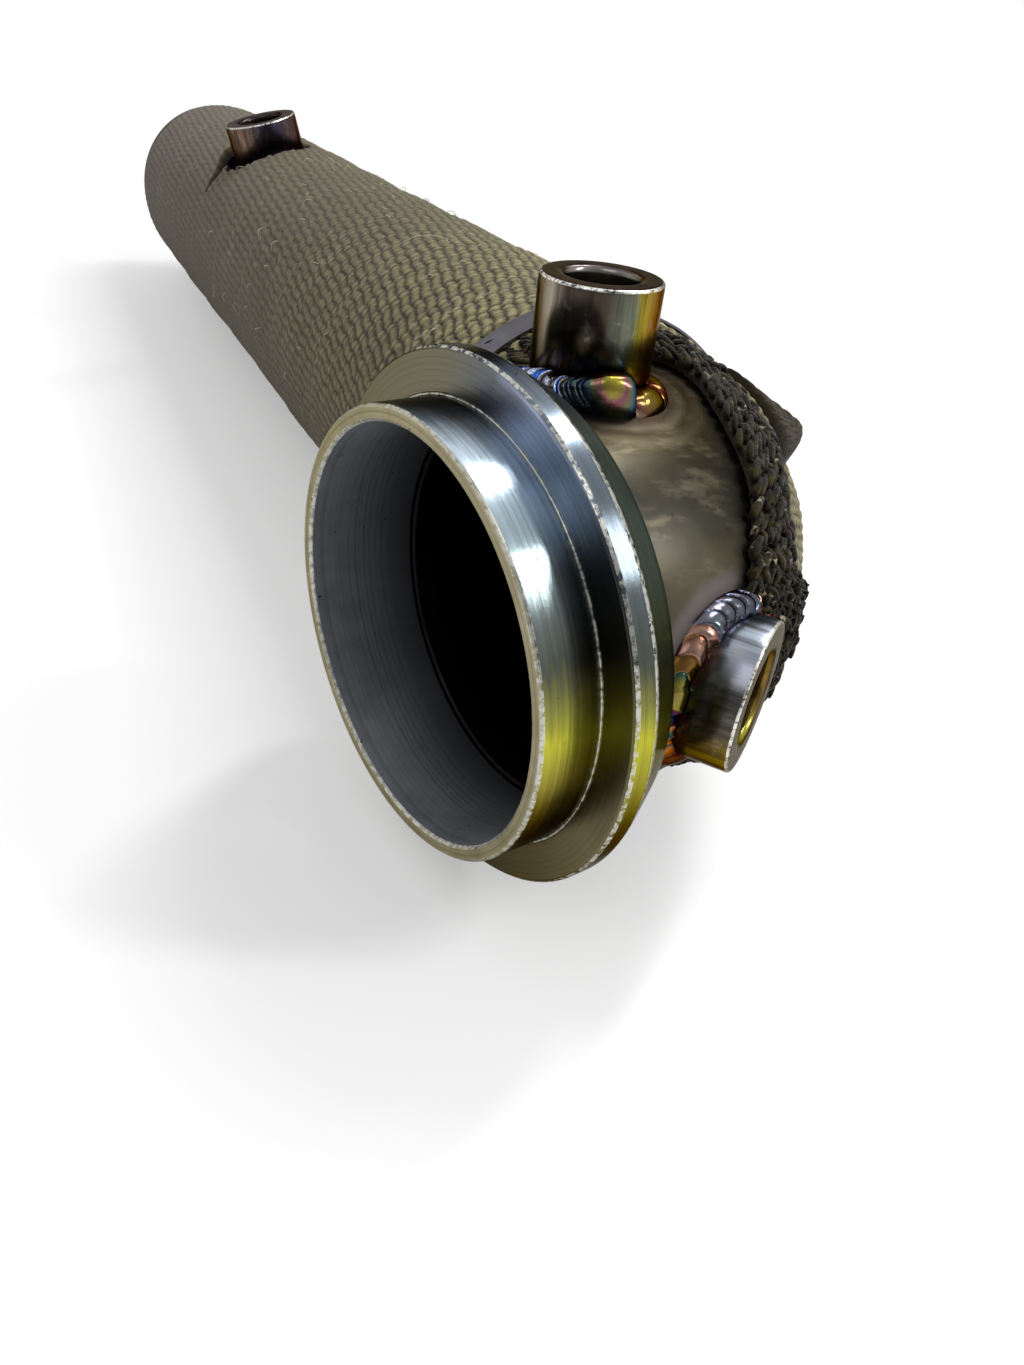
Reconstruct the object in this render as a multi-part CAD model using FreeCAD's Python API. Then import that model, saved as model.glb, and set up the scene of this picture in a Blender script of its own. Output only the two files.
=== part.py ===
import FreeCAD, Part
import math
import os

# Turbocharger downpipe, front section: a turned V-band flange, a tight elbow with two sensor
# bosses, and a long straight pipe under heat wrap with a third boss. Millimetres, +Z up.
# The origin is the centre of the flange's flat sealing face. The gas flows along +Y through the
# flange, then turns towards -X, so the elbow and the pipe lie in a nearly level plane.

V = FreeCAD.Vector

# Inlet flange
spigot_wall = 3.0
spigot_length = 11.2
spigot_chamfer = 0.6
sealing_face_width = 8.1
rim_width = 4.2
rim_chamfer = 0.7
flange_depth = 12.0
back_land_width = 6.0

# Elbow: its first end butts on the flange's back, and its other end is a little wider than the pipe
elbow_seat_width = 0.6
elbow_wall = 2.1
elbow_land = 4.0
elbow_over_pipe = 0.5
inner_bend_radius = 4.4
bend_angle = 79.7
bend_tilt = 1.0

# Straight pipe
pipe_outer_radius = 38.1
pipe_wall = 1.6
pipe_stub = 14.5

# Sensor bosses: tall thin one on top, short wide one on the outside of the bend, one at the rear
tall_boss_radius = 11.0
tall_boss_bore = 6.25
tall_boss_place = 23.1
tall_boss_roll = -8.0
tall_boss_height = 19.8
wide_boss_radius = 14.05
wide_boss_bore = 8.25
side_boss_place = 11.7
side_boss_turn = 27.7
side_boss_height = 5.75
side_boss_drop = 1.1
rear_boss_place = 268.0
rear_boss_roll = 15.0
rear_boss_height = 15.0
boss_chamfer = 0.6
thread_lead_in = 0.9

# Weld beads: each one's crown is a share of its leg or height
flange_weld_leg = 4.0
flange_weld_crown = ((0.35, 0.8), (0.75, 0.4))
tall_weld_width = 4.2
tall_weld_height = 3.2
boss_weld_width = 3.4
boss_weld_height = 2.4
boss_weld_round_share = 0.83
joint_weld_width = 3.0
joint_weld_height = 0.75
joint_weld_crown = ((0.0, 0.8), (0.3, 1.0), (0.7, 0.6))

# Heat wrap: an elbow cuff, a shingled sleeve of tape turns that ends in a single layer, a slit
# beside the rear boss, and the folded tape tail
wrap_gap = 0.3
wrap_thickness = 3.7
wrap_step = 0.8
wrap_length = 421.0
wrap_end_length = 13.5
wrap_end_thickness = 1.5
tape_pitch = 47.8
tape_edge_rise = 1.5
tape_edge_fall = 0.8
cuff_thickness = 2.8
cuff_start_angle = 12.0
cuff_lower_start_angle = 31.0
cuff_slope_place = 29.0
cuff_slope_roll = 37.3
cuff_slope_normal = V(-0.14, -0.84, 0.53)
boss_cutout_gap = 0.8
slit_length = 26.0
slit_mouth = 11.0
slit_roll = 36.0
slit_lean = 12.0
slit_offset = 19.0
slit_root_share = 0.5
tail_root = ((64.0, 30.0), (31.0, 42.0))
tail_corner = (50.0, 64.0)
tail_root_height = 2.6
tail_corner_height = 7.0

# Stainless wrap ties
tie_width = 7.9
tie_thickness = 0.6
tie_gap = 0.25
tie_pull = 1.0
near_tie_place = 7.0
buckle_length = 12.0
buckle_width = 10.6
buckle_height = 5.2
buckle_wall = 0.9
buckle_low_end = 0.7
buckle_ridge_place = 0.6
ball_radius = 1.5
near_buckle_roll = -120.0
far_buckle_roll = -120.0

# Worked out from the driving dimensions
elbow_outer_radius = pipe_outer_radius + elbow_over_pipe
bend_radius = elbow_outer_radius + inner_bend_radius
bore_radius = elbow_outer_radius - elbow_seat_width
spigot_radius = bore_radius + spigot_wall
flange_radius = spigot_radius + sealing_face_width
flange_back_radius = elbow_outer_radius + back_land_width
elbow_bore_radius = elbow_outer_radius - elbow_wall
pipe_bore_radius = pipe_outer_radius - pipe_wall
sleeve_length = wrap_length + wrap_end_length
pipe_length = sleeve_length + pipe_stub
bend_start = flange_depth + elbow_land
wrap_inner_radius = elbow_outer_radius + wrap_gap
wrap_waist_radius = wrap_inner_radius + wrap_thickness
wrap_radius = wrap_waist_radius + wrap_step
wrap_end_radius = wrap_inner_radius + wrap_end_thickness
cuff_outer_radius = wrap_inner_radius + cuff_thickness
near_tie = near_tie_place
far_tie = wrap_length + wrap_end_length / 2
tie_waist = tie_width / 2 + tie_pull

# For picking edges by where they lie
tolerance = 0.02
crest_share = 0.125
edge_shares = (0.2, 0.5, 0.8)

# How far a cutter runs past what it cuts, and the side of one that covers the whole elbow
cut_past = 1.0
elbow_cutter = 4 * (bend_radius + cuff_outer_radius)

# Directions: the bend turns in the plane of `inward` and +Y about the axis `bend_axis`
tilt = math.radians(bend_tilt)
inward = V(-math.cos(tilt), 0, -math.sin(tilt))
flow = V(0, 1, 0)
bend_axis = flow.cross(inward)
bend_centre = flow * bend_start + inward * bend_radius


def on_bend(angle):
    """Point of the elbow's centre line, `angle` degrees round the bend."""
    a = math.radians(angle)
    return bend_centre - inward * (bend_radius * math.cos(a)) + flow * (bend_radius * math.sin(a))


def along_bend(angle):
    """Direction of the elbow's centre line, `angle` degrees round the bend."""
    a = math.radians(angle)
    return inward * math.sin(a) + flow * math.cos(a)


def off_bend(angle, roll):
    """Outward direction on the elbow, `roll` degrees from the top to the outside of the bend."""
    a = math.radians(roll)
    outside = on_bend(angle) - bend_centre
    outside.normalize()
    return bend_axis * math.cos(a) + outside * math.sin(a)


pipe_start = on_bend(bend_angle)
pipe_direction = along_bend(bend_angle)
pipe_up = bend_axis
pipe_front = pipe_up.cross(pipe_direction)


def on_pipe(place, radius=0.0, roll=0.0):
    """Point `place` along the pipe, `radius` off its axis, `roll` degrees from the top to the front."""
    a = math.radians(roll)
    return pipe_start + pipe_direction * place + (pipe_up * math.cos(a) + pipe_front * math.sin(a)) * radius


def radial(roll):
    """Outward direction on the pipe, `roll` degrees from the top to the front."""
    a = math.radians(roll)
    return pipe_up * math.cos(a) + pipe_front * math.sin(a)


def placed(x_axis, y_axis, z_axis, origin):
    """Placement that carries a shape's own axes to the three given directions."""
    m = FreeCAD.Matrix(x_axis.x, y_axis.x, z_axis.x, origin.x,
                       x_axis.y, y_axis.y, z_axis.y, origin.y,
                       x_axis.z, y_axis.z, z_axis.z, origin.z,
                       0, 0, 0, 1)
    return FreeCAD.Placement(m)


def turned(points, base, axis):
    """Solid of revolution of a closed outline given as (distance along the axis, radius)."""
    side = axis.cross(V(0, 0, 1))
    if side.Length < 0.5:
        side = axis.cross(V(1, 0, 0))
    side.normalize()
    places = [base + axis * along + side * radius for along, radius in points]
    outline = Part.makePolygon(places + places[:1])
    return Part.Face(outline).revolve(base, axis, 360)


def tube(outer, inner, base, axis, length):
    """Straight round tube."""
    return Part.makeCylinder(outer, length, base, axis).cut(Part.makeCylinder(inner, length, base, axis))


def bent_bar(radius, first_angle, last_angle):
    """Solid round bar that follows the bend between two angles."""
    centre = on_bend(first_angle)
    ring = Part.Wire(Part.makeCircle(radius, centre, along_bend(first_angle)))
    return Part.Face(ring).revolve(bend_centre, bend_axis, last_angle - first_angle)


def solid_of(shape):
    """The one solid of a boolean's result."""
    shape = shape.removeSplitter()
    return max(shape.Solids, key=lambda s: s.Volume)


# Boss axes
tall_axis = V(0, 0, 1)
tall_foot = on_bend(tall_boss_place) + off_bend(tall_boss_place, tall_boss_roll) * elbow_outer_radius
tall_mouth = tall_foot + tall_axis * tall_boss_height
side_turn = math.radians(side_boss_turn)
side_axis = V(math.cos(side_turn), math.sin(side_turn), 0)
side_foot = on_bend(side_boss_place) + off_bend(side_boss_place, 90) * elbow_outer_radius
side_mouth = side_foot - bend_axis * side_boss_drop + side_axis * side_boss_height
rear_axis = radial(rear_boss_roll)
rear_mouth = on_pipe(rear_boss_place, pipe_outer_radius + rear_boss_height, rear_boss_roll)

# How far below its mouth each boss's blank and drill reach: past the wall's lowest point under it
saddle_reach = 0.3
tall_drop = tall_boss_height + elbow_outer_radius * saddle_reach
side_drop = side_boss_height + elbow_outer_radius * saddle_reach
rear_drop = rear_boss_height + pipe_outer_radius * saddle_reach


def inlet_flange():
    """Turned V-band flange: pilot spigot, flat sealing face, rim, and the slope its clamp pulls on."""
    outline = [
        (-spigot_length, bore_radius + spigot_chamfer),
        (-spigot_length, spigot_radius - spigot_chamfer),
        (-spigot_length + spigot_chamfer, spigot_radius),
        (0, spigot_radius),
        (0, flange_radius - rim_chamfer),
        (rim_chamfer, flange_radius),
        (rim_width, flange_radius),
        (flange_depth, flange_back_radius),
        (flange_depth, bore_radius),
        (-spigot_length + spigot_chamfer, bore_radius),
    ]
    return turned(outline, V(0, 0, 0), flow)


def elbow_bar(radius, ahead=0.0):
    """The elbow's land and bend as one solid bar, run on `ahead` of the land."""
    land = Part.makeCylinder(radius, elbow_land + ahead, flow * (flange_depth - ahead), flow)
    return land.fuse(bent_bar(radius, 0, bend_angle)).removeSplitter()


def boss_hole(radius, mouth, axis, depth):
    """Drill through a boss, from just outside its mouth."""
    return Part.makeCylinder(radius, depth + cut_past, mouth + axis * cut_past, axis * -1)


def elbow():
    """Tight elbow, open at both ends, drilled under its two bosses."""
    shell = elbow_bar(elbow_outer_radius).cut(elbow_bar(elbow_bore_radius))
    shell = shell.cut(boss_hole(tall_boss_bore, tall_mouth, tall_axis, tall_drop))
    shell = shell.cut(boss_hole(wide_boss_bore, side_mouth, side_axis, side_drop))
    return solid_of(shell)


def inlet_flange_weld():
    """Fillet bead in the corner between the flange's back and the elbow's land."""
    leg = flange_weld_leg
    outline = [(flange_depth, elbow_outer_radius), (flange_depth, elbow_outer_radius + leg)]
    outline += [(flange_depth + leg * along, elbow_outer_radius + leg * out) for along, out in flange_weld_crown]
    outline += [(flange_depth + leg, elbow_outer_radius)]
    return turned(outline, V(0, 0, 0), flow)


def boss(radius, bore, mouth, axis, length, seat):
    """Round boss, drilled through, with eased edges, its foot cut to the wall it stands on."""
    foot = -length
    outline = [
        (foot, 0),
        (foot, radius),
        (-boss_chamfer, radius),
        (0, radius - boss_chamfer),
        (0, bore + thread_lead_in),
        (-thread_lead_in, bore),
        (-thread_lead_in, 0),
    ]
    blank = turned(outline, mouth, axis)
    blank = blank.cut(seat)
    return solid_of(blank.cut(boss_hole(bore, mouth, axis, length)))


def saddle_weld(radius, width, height, mouth, axis, drop, seat, skin):
    """Rounded bead round a boss's foot that follows the curved wall at an even height."""
    toe = radius + width
    collar = solid_of(tube(toe, radius, mouth - axis * drop, axis, drop).common(skin).cut(seat))
    crest = []
    for edge in collar.Edges:
        span = edge.LastParameter - edge.FirstParameter
        points = [edge.valueAt(edge.FirstParameter + span * share) for share in edge_shares]
        on_toe = all(abs((point - mouth).cross(axis).Length - toe) < tolerance for point in points)
        if on_toe and not any(seat.isInside(point, height * crest_share, True) for point in points):
            crest.append(edge)
    return collar.makeFillet(boss_weld_round_share * min(width, height), crest)


def pipe():
    """Straight pipe with eased ends, drilled under the rear boss."""
    wall = tube(pipe_outer_radius, pipe_bore_radius, pipe_start, pipe_direction, pipe_length)
    return solid_of(wall.cut(boss_hole(wide_boss_bore, rear_mouth, rear_axis, rear_drop)))


def pipe_weld():
    """Bead where the pipe meets the elbow, lying on the pipe."""
    outline = [(0, pipe_outer_radius)]
    outline += [(joint_weld_width * along, pipe_outer_radius + joint_weld_height * out) for along, out in joint_weld_crown]
    outline += [(joint_weld_width, pipe_outer_radius)]
    return turned(outline, pipe_start, pipe_direction)


def boss_cutout(mouth, axis, drop):
    """Room that the wrap leaves round a wide boss and its bead."""
    radius = wide_boss_radius + boss_weld_width + boss_cutout_gap
    return Part.makeCylinder(radius, 2 * drop, mouth - axis * drop, axis)


def wrap_slit():
    """Gap that opens between two tape turns beside the rear boss and closes to a point."""
    out = radial(slit_roll)
    lean = math.radians(slit_lean)
    side = pipe_direction * math.cos(lean) + pipe_direction.cross(out) * math.sin(lean)
    down = side.cross(out)
    root = on_pipe(rear_boss_place + slit_offset, pipe_outer_radius * slit_root_share, slit_roll)
    top = root - down * (slit_length / 2)
    corners = [top - side * (slit_mouth / 2), top + side * (slit_mouth / 2), top + down * slit_length]
    return Part.Face(Part.makePolygon(corners + corners[:1])).extrude(out * pipe_outer_radius)


def wrap_sleeve():
    """Tape wound along the pipe: each turn rises to its far edge and covers the next one's start."""
    first = near_tie + tie_waist
    last = wrap_length
    outline = [
        (0, wrap_inner_radius),
        (0, cuff_outer_radius),
        (near_tie - tie_waist, wrap_waist_radius),
        (first, wrap_waist_radius),
    ]
    start = first
    while start < last - tape_edge_rise - tape_edge_fall:
        end = min(start + tape_pitch, last)
        outline.append((start + tape_edge_rise, wrap_waist_radius + wrap_step / 2))
        outline.append((end - tape_edge_fall, wrap_radius))
        start = end
    outline += [
        (last, wrap_end_radius),
        (sleeve_length, wrap_end_radius),
        (sleeve_length, wrap_inner_radius),
    ]
    sleeve = turned(outline, pipe_start, pipe_direction)
    return solid_of(sleeve.cut(boss_cutout(rear_mouth, rear_axis, rear_drop)).cut(wrap_slit()))


def wrap_cuff():
    """First turns of tape on the elbow, cut back on a slope over the top and round the side boss."""
    outer = bent_bar(cuff_outer_radius, cuff_start_angle, bend_angle)
    inner = bent_bar(wrap_inner_radius, cuff_start_angle - cut_past, bend_angle + cut_past)
    cuff = outer.cut(inner)
    reach = elbow_cutter
    normal = V(cuff_slope_normal)
    normal.normalize()
    across = normal.cross(V(1, 0, 0))
    across.normalize()
    slope = Part.makeBox(reach, reach, reach, V(-reach / 2, -reach / 2, 0))
    corner = on_bend(cuff_slope_place) + off_bend(cuff_slope_place, cuff_slope_roll) * wrap_inner_radius
    slope.Placement = placed(across.cross(normal), across, normal, corner)
    cuff = cuff.cut(slope)
    lower = bent_bar(cuff_outer_radius + cut_past, 0, cuff_lower_start_angle)
    lower_half = Part.makeBox(reach, reach, reach, V(-reach / 2, -reach / 2, -reach))
    cuff = cuff.cut(lower.common(lower_half))
    return solid_of(cuff.cut(boss_cutout(side_mouth, side_axis, side_drop)))


def wrap_tail():
    """Folded end of the tape: it lies on the cuff behind the elbow's top, with one corner standing off."""
    lowest = cuff_outer_radius + wrap_gap
    corners = [on_bend(angle) + off_bend(angle, roll) * (lowest + tail_root_height) for angle, roll in tail_root]
    angle, roll = tail_corner
    corners.insert(1, on_bend(angle) + off_bend(angle, roll) * (lowest + tail_corner_height))
    flap = Part.Face(Part.makePolygon(corners + corners[:1])).extrude(off_bend(angle, roll) * -lowest)
    return solid_of(flap.cut(bent_bar(lowest, 0, bend_angle)))


def tie_strap(place, waist):
    """Thin stainless band round the wrap, whose radius there is `waist`."""
    inner = waist + tie_gap
    return tube(inner + tie_thickness, inner, on_pipe(place - tie_width / 2), pipe_direction, tie_width)


def tie_buckle(place, waist, roll):
    """Ball-lock head: a folded open box on the strap, with a sloping roof over the ball."""
    out = radial(roll)
    side = pipe_direction
    run = side.cross(out)
    base = on_pipe(place, waist + tie_gap + tie_thickness, roll)
    inside = buckle_height - buckle_wall
    outline = [
        V(-buckle_length / 2, 0, 0),
        V(-buckle_length / 2, 0, buckle_height * buckle_low_end),
        V(buckle_length * (buckle_ridge_place - 0.5), 0, buckle_height),
        V(buckle_length / 2, 0, buckle_height),
        V(buckle_length / 2, 0, 0),
    ]
    body = Part.Face(Part.makePolygon(outline + outline[:1])).extrude(V(0, buckle_width, 0))
    room = Part.makeBox(buckle_length + 2 * cut_past, buckle_width - 2 * buckle_wall, inside - buckle_wall,
                        V(-buckle_length / 2 - cut_past, buckle_wall, buckle_wall))
    body = body.cut(room)
    body.Placement = placed(run, side, out, base - side * (buckle_width / 2))
    return solid_of(body)


def tie_ball(place, waist, roll):
    """Locking ball held between the buckle's floor and roof."""
    centre = on_pipe(place, waist + tie_gap + tie_thickness + buckle_wall + ball_radius, roll)
    return Part.makeSphere(ball_radius, centre)


# Filled walls that the bosses stand on, and the same walls with a bead's height on top
weld_room = tall_weld_width + tall_boss_radius
elbow_seat = elbow_bar(elbow_outer_radius, weld_room)
tall_skin = elbow_bar(elbow_outer_radius + tall_weld_height, weld_room)
side_skin = elbow_bar(elbow_outer_radius + boss_weld_height, weld_room)
pipe_seat = Part.makeCylinder(pipe_outer_radius, pipe_length, pipe_start, pipe_direction)
pipe_skin = Part.makeCylinder(pipe_outer_radius + boss_weld_height, pipe_length, pipe_start, pipe_direction)

# Pieces that others are cut to
flange = inlet_flange()
tall_boss = boss(tall_boss_radius, tall_boss_bore, tall_mouth, tall_axis, tall_drop, elbow_seat)
flange_weld = solid_of(inlet_flange_weld().cut(tall_boss))
tall_weld = saddle_weld(tall_boss_radius, tall_weld_width, tall_weld_height,
                        tall_mouth, tall_axis, tall_drop, elbow_seat, tall_skin)
side_weld = saddle_weld(wide_boss_radius, boss_weld_width, boss_weld_height,
                        side_mouth, side_axis, side_drop, elbow_seat, side_skin)
rear_weld = saddle_weld(wide_boss_radius, boss_weld_width, boss_weld_height,
                        rear_mouth, rear_axis, rear_drop, pipe_seat, pipe_skin)

nodes = {
    "inlet_flange": flange,
    "inlet_flange_weld": flange_weld,
    "elbow": elbow(),
    "tall_boss": tall_boss,
    "tall_boss_weld": solid_of(tall_weld.cut(flange).cut(flange_weld)),
    "side_boss": boss(wide_boss_radius, wide_boss_bore, side_mouth, side_axis, side_drop, elbow_seat),
    "side_boss_weld": solid_of(side_weld.cut(flange).cut(flange_weld)),
    "straight_pipe": pipe(),
    "pipe_weld": pipe_weld(),
    "rear_boss": boss(wide_boss_radius, wide_boss_bore, rear_mouth, rear_axis, rear_drop, pipe_seat),
    "rear_boss_weld": solid_of(rear_weld),
    "wrap_sleeve": wrap_sleeve(),
    "wrap_cuff": wrap_cuff(),
    "wrap_tail": wrap_tail(),
}
for name, place, waist, roll in (("near_tie", near_tie, wrap_waist_radius, near_buckle_roll),
                                 ("far_tie", far_tie, wrap_end_radius, far_buckle_roll)):
    nodes[name + "_strap"] = tie_strap(place, waist)
    nodes[name + "_buckle"] = tie_buckle(place, waist, roll)
    nodes[name + "_ball"] = tie_ball(place, waist, roll)

os.makedirs("parts", exist_ok=True)
for name, shape in nodes.items():
    shape.exportStep("parts/" + name + ".step")
    box = shape.BoundBox
    print("%-18s solids %d valid %s volume %.0f  x %.1f..%.1f y %.1f..%.1f z %.1f..%.1f" % (
        name, len(shape.Solids), shape.isValid(), shape.Volume,
        box.XMin, box.XMax, box.YMin, box.YMax, box.ZMin, box.ZMax))
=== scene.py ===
import math

import bpy
import numpy as np
from mathutils import Matrix, Vector


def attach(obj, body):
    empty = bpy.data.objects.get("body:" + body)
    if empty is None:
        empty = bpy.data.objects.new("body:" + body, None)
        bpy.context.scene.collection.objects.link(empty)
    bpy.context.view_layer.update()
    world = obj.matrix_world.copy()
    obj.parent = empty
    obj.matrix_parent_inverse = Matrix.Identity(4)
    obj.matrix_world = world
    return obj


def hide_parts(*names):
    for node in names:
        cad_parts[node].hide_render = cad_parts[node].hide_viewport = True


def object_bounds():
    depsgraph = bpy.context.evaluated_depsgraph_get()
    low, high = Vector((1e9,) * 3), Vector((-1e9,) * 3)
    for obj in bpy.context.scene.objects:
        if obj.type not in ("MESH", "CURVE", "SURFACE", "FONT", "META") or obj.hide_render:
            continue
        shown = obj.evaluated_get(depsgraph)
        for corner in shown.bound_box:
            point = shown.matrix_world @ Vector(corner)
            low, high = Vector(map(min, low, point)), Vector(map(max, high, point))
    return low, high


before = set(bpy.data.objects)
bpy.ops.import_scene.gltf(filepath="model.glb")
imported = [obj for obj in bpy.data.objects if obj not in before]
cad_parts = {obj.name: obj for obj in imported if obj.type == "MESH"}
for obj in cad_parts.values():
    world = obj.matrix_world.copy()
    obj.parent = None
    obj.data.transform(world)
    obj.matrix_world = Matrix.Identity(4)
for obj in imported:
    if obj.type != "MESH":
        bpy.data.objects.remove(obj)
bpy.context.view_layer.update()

MM = 0.001

# Sizes repeated from the part's source, in mm
bore_radius = 38.0
spigot_radius = 41.0
spigot_length = 11.2
flange_radius = 49.1
flange_depth = 12.0
flange_back_radius = 44.6
rim_width = 4.2
elbow_radius = 38.6
elbow_bore = 36.5
bend_start = 16.0
bend_radius = 43.0
bend_angle = 79.7
bend_tilt = math.radians(1.0)
pipe_radius = 38.1
tall_radius = 11.0
tall_bore = 6.25
wide_radius = 14.05
wide_bore = 8.25
wrap_inner = 38.9
wrap_waist = 42.6
wrap_end_radius = 40.4
wrap_length = 421.0
sleeve_length = 434.5
tie_width = 7.9
tie_gap = 0.25
tie_thickness = 0.6
near_tie = 7.0
far_tie = 427.75

inward = np.array([-math.cos(bend_tilt), 0.0, -math.sin(bend_tilt)])
flow = np.array([0.0, 1.0, 0.0])
bend_axis = np.cross(flow, inward)
bend_centre = flow * bend_start + inward * bend_radius


def col(v):
    """Numbers as a column that multiplies a row of three."""
    return np.asarray(v, float)[..., None]


def on_bend(angle):
    a = np.radians(angle)
    return bend_centre - col(np.cos(a)) * inward * bend_radius + col(np.sin(a)) * flow * bend_radius


def along_bend(angle):
    a = np.radians(angle)
    return col(np.sin(a)) * inward + col(np.cos(a)) * flow


def off_bend(angle, roll):
    """Outward direction on the elbow: roll 0 is the top, 90 the outside of the bend."""
    a, q = np.radians(angle), np.radians(roll)
    outside = -col(np.cos(a)) * inward + col(np.sin(a)) * flow
    return col(np.cos(q)) * bend_axis + col(np.sin(q)) * outside


pipe_start = on_bend(bend_angle)
pipe_direction = along_bend(bend_angle)
pipe_front = np.cross(bend_axis, pipe_direction)


def off_pipe(roll):
    """Outward direction on the pipe: roll 0 is the top, 90 the front."""
    q = np.radians(roll)
    return col(np.cos(q)) * bend_axis + col(np.sin(q)) * pipe_front


def on_pipe(place, radius=0.0, roll=0.0):
    return pipe_start + col(place) * pipe_direction + col(radius) * off_pipe(roll)


# Where the bosses stand: bend angle and roll on the elbow, place and roll on the pipe, height to the mouth
tall_angle, tall_roll, tall_height = 23.1, -8.0, 19.8
side_angle, side_roll, side_height = 11.7, 90.0, 5.75
side_turn, side_drop = math.radians(27.7), 1.1
rear_place, rear_roll, rear_height = 268.0, 15.0, 15.0

tall_axis = np.array([0.0, 0.0, 1.0])
tall_mouth = on_bend(tall_angle) + elbow_radius * off_bend(tall_angle, tall_roll) + tall_axis * tall_height
side_axis = np.array([math.cos(side_turn), math.sin(side_turn), 0.0])
side_foot = on_bend(side_angle) + elbow_radius * off_bend(side_angle, side_roll)
side_mouth = side_foot - bend_axis * side_drop + side_axis * side_height
rear_axis = off_pipe(rear_roll)
rear_mouth = on_pipe(rear_place, pipe_radius + rear_height, rear_roll)

# Camera: fitted to the flange's circles in the photograph
photo_height, focal_pixels = 1365.0, 1000.0
camera_data = bpy.data.cameras.new("camera")
camera_data.sensor_width = 36.0
camera_data.lens = focal_pixels * camera_data.sensor_width / photo_height
camera_data.clip_start = 0.01
camera_data.clip_end = 200.0
camera = bpy.data.objects.new("camera", camera_data)
right = Vector((0.566506, 0.818469, 0.095806))
up = Vector((-0.509561, 0.256557, 0.821295))
eye = Vector((0.129128, -0.088314, 0.095428))
camera.matrix_world = Matrix.Translation(eye) @ Matrix((right, up, right.cross(up))).transposed().to_4x4()
bpy.context.scene.collection.objects.link(camera)
bpy.context.scene.camera = camera


def srgb(r, g, b):
    """A colour seen on screen, 0 to 255, as the linear colour that a shader wants."""
    def linear(c):
        c /= 255.0
        return c / 12.92 if c <= 0.04045 else ((c + 0.055) / 1.055) ** 2.4
    return (linear(r), linear(g), linear(b), 1.0)


def frame_of(axis):
    """Two directions square to an axis."""
    axis = np.asarray(axis, float)
    first = np.cross(axis, (0.0, 0.0, 1.0))
    if np.linalg.norm(first) < 0.5:
        first = np.cross(axis, (1.0, 0.0, 0.0))
    first /= np.linalg.norm(first)
    return first, np.cross(axis, first)


# Tint of a metal's reflection near its outline
edge_tint = (0.26, 0.24, 0.19, 1.0)


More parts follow.
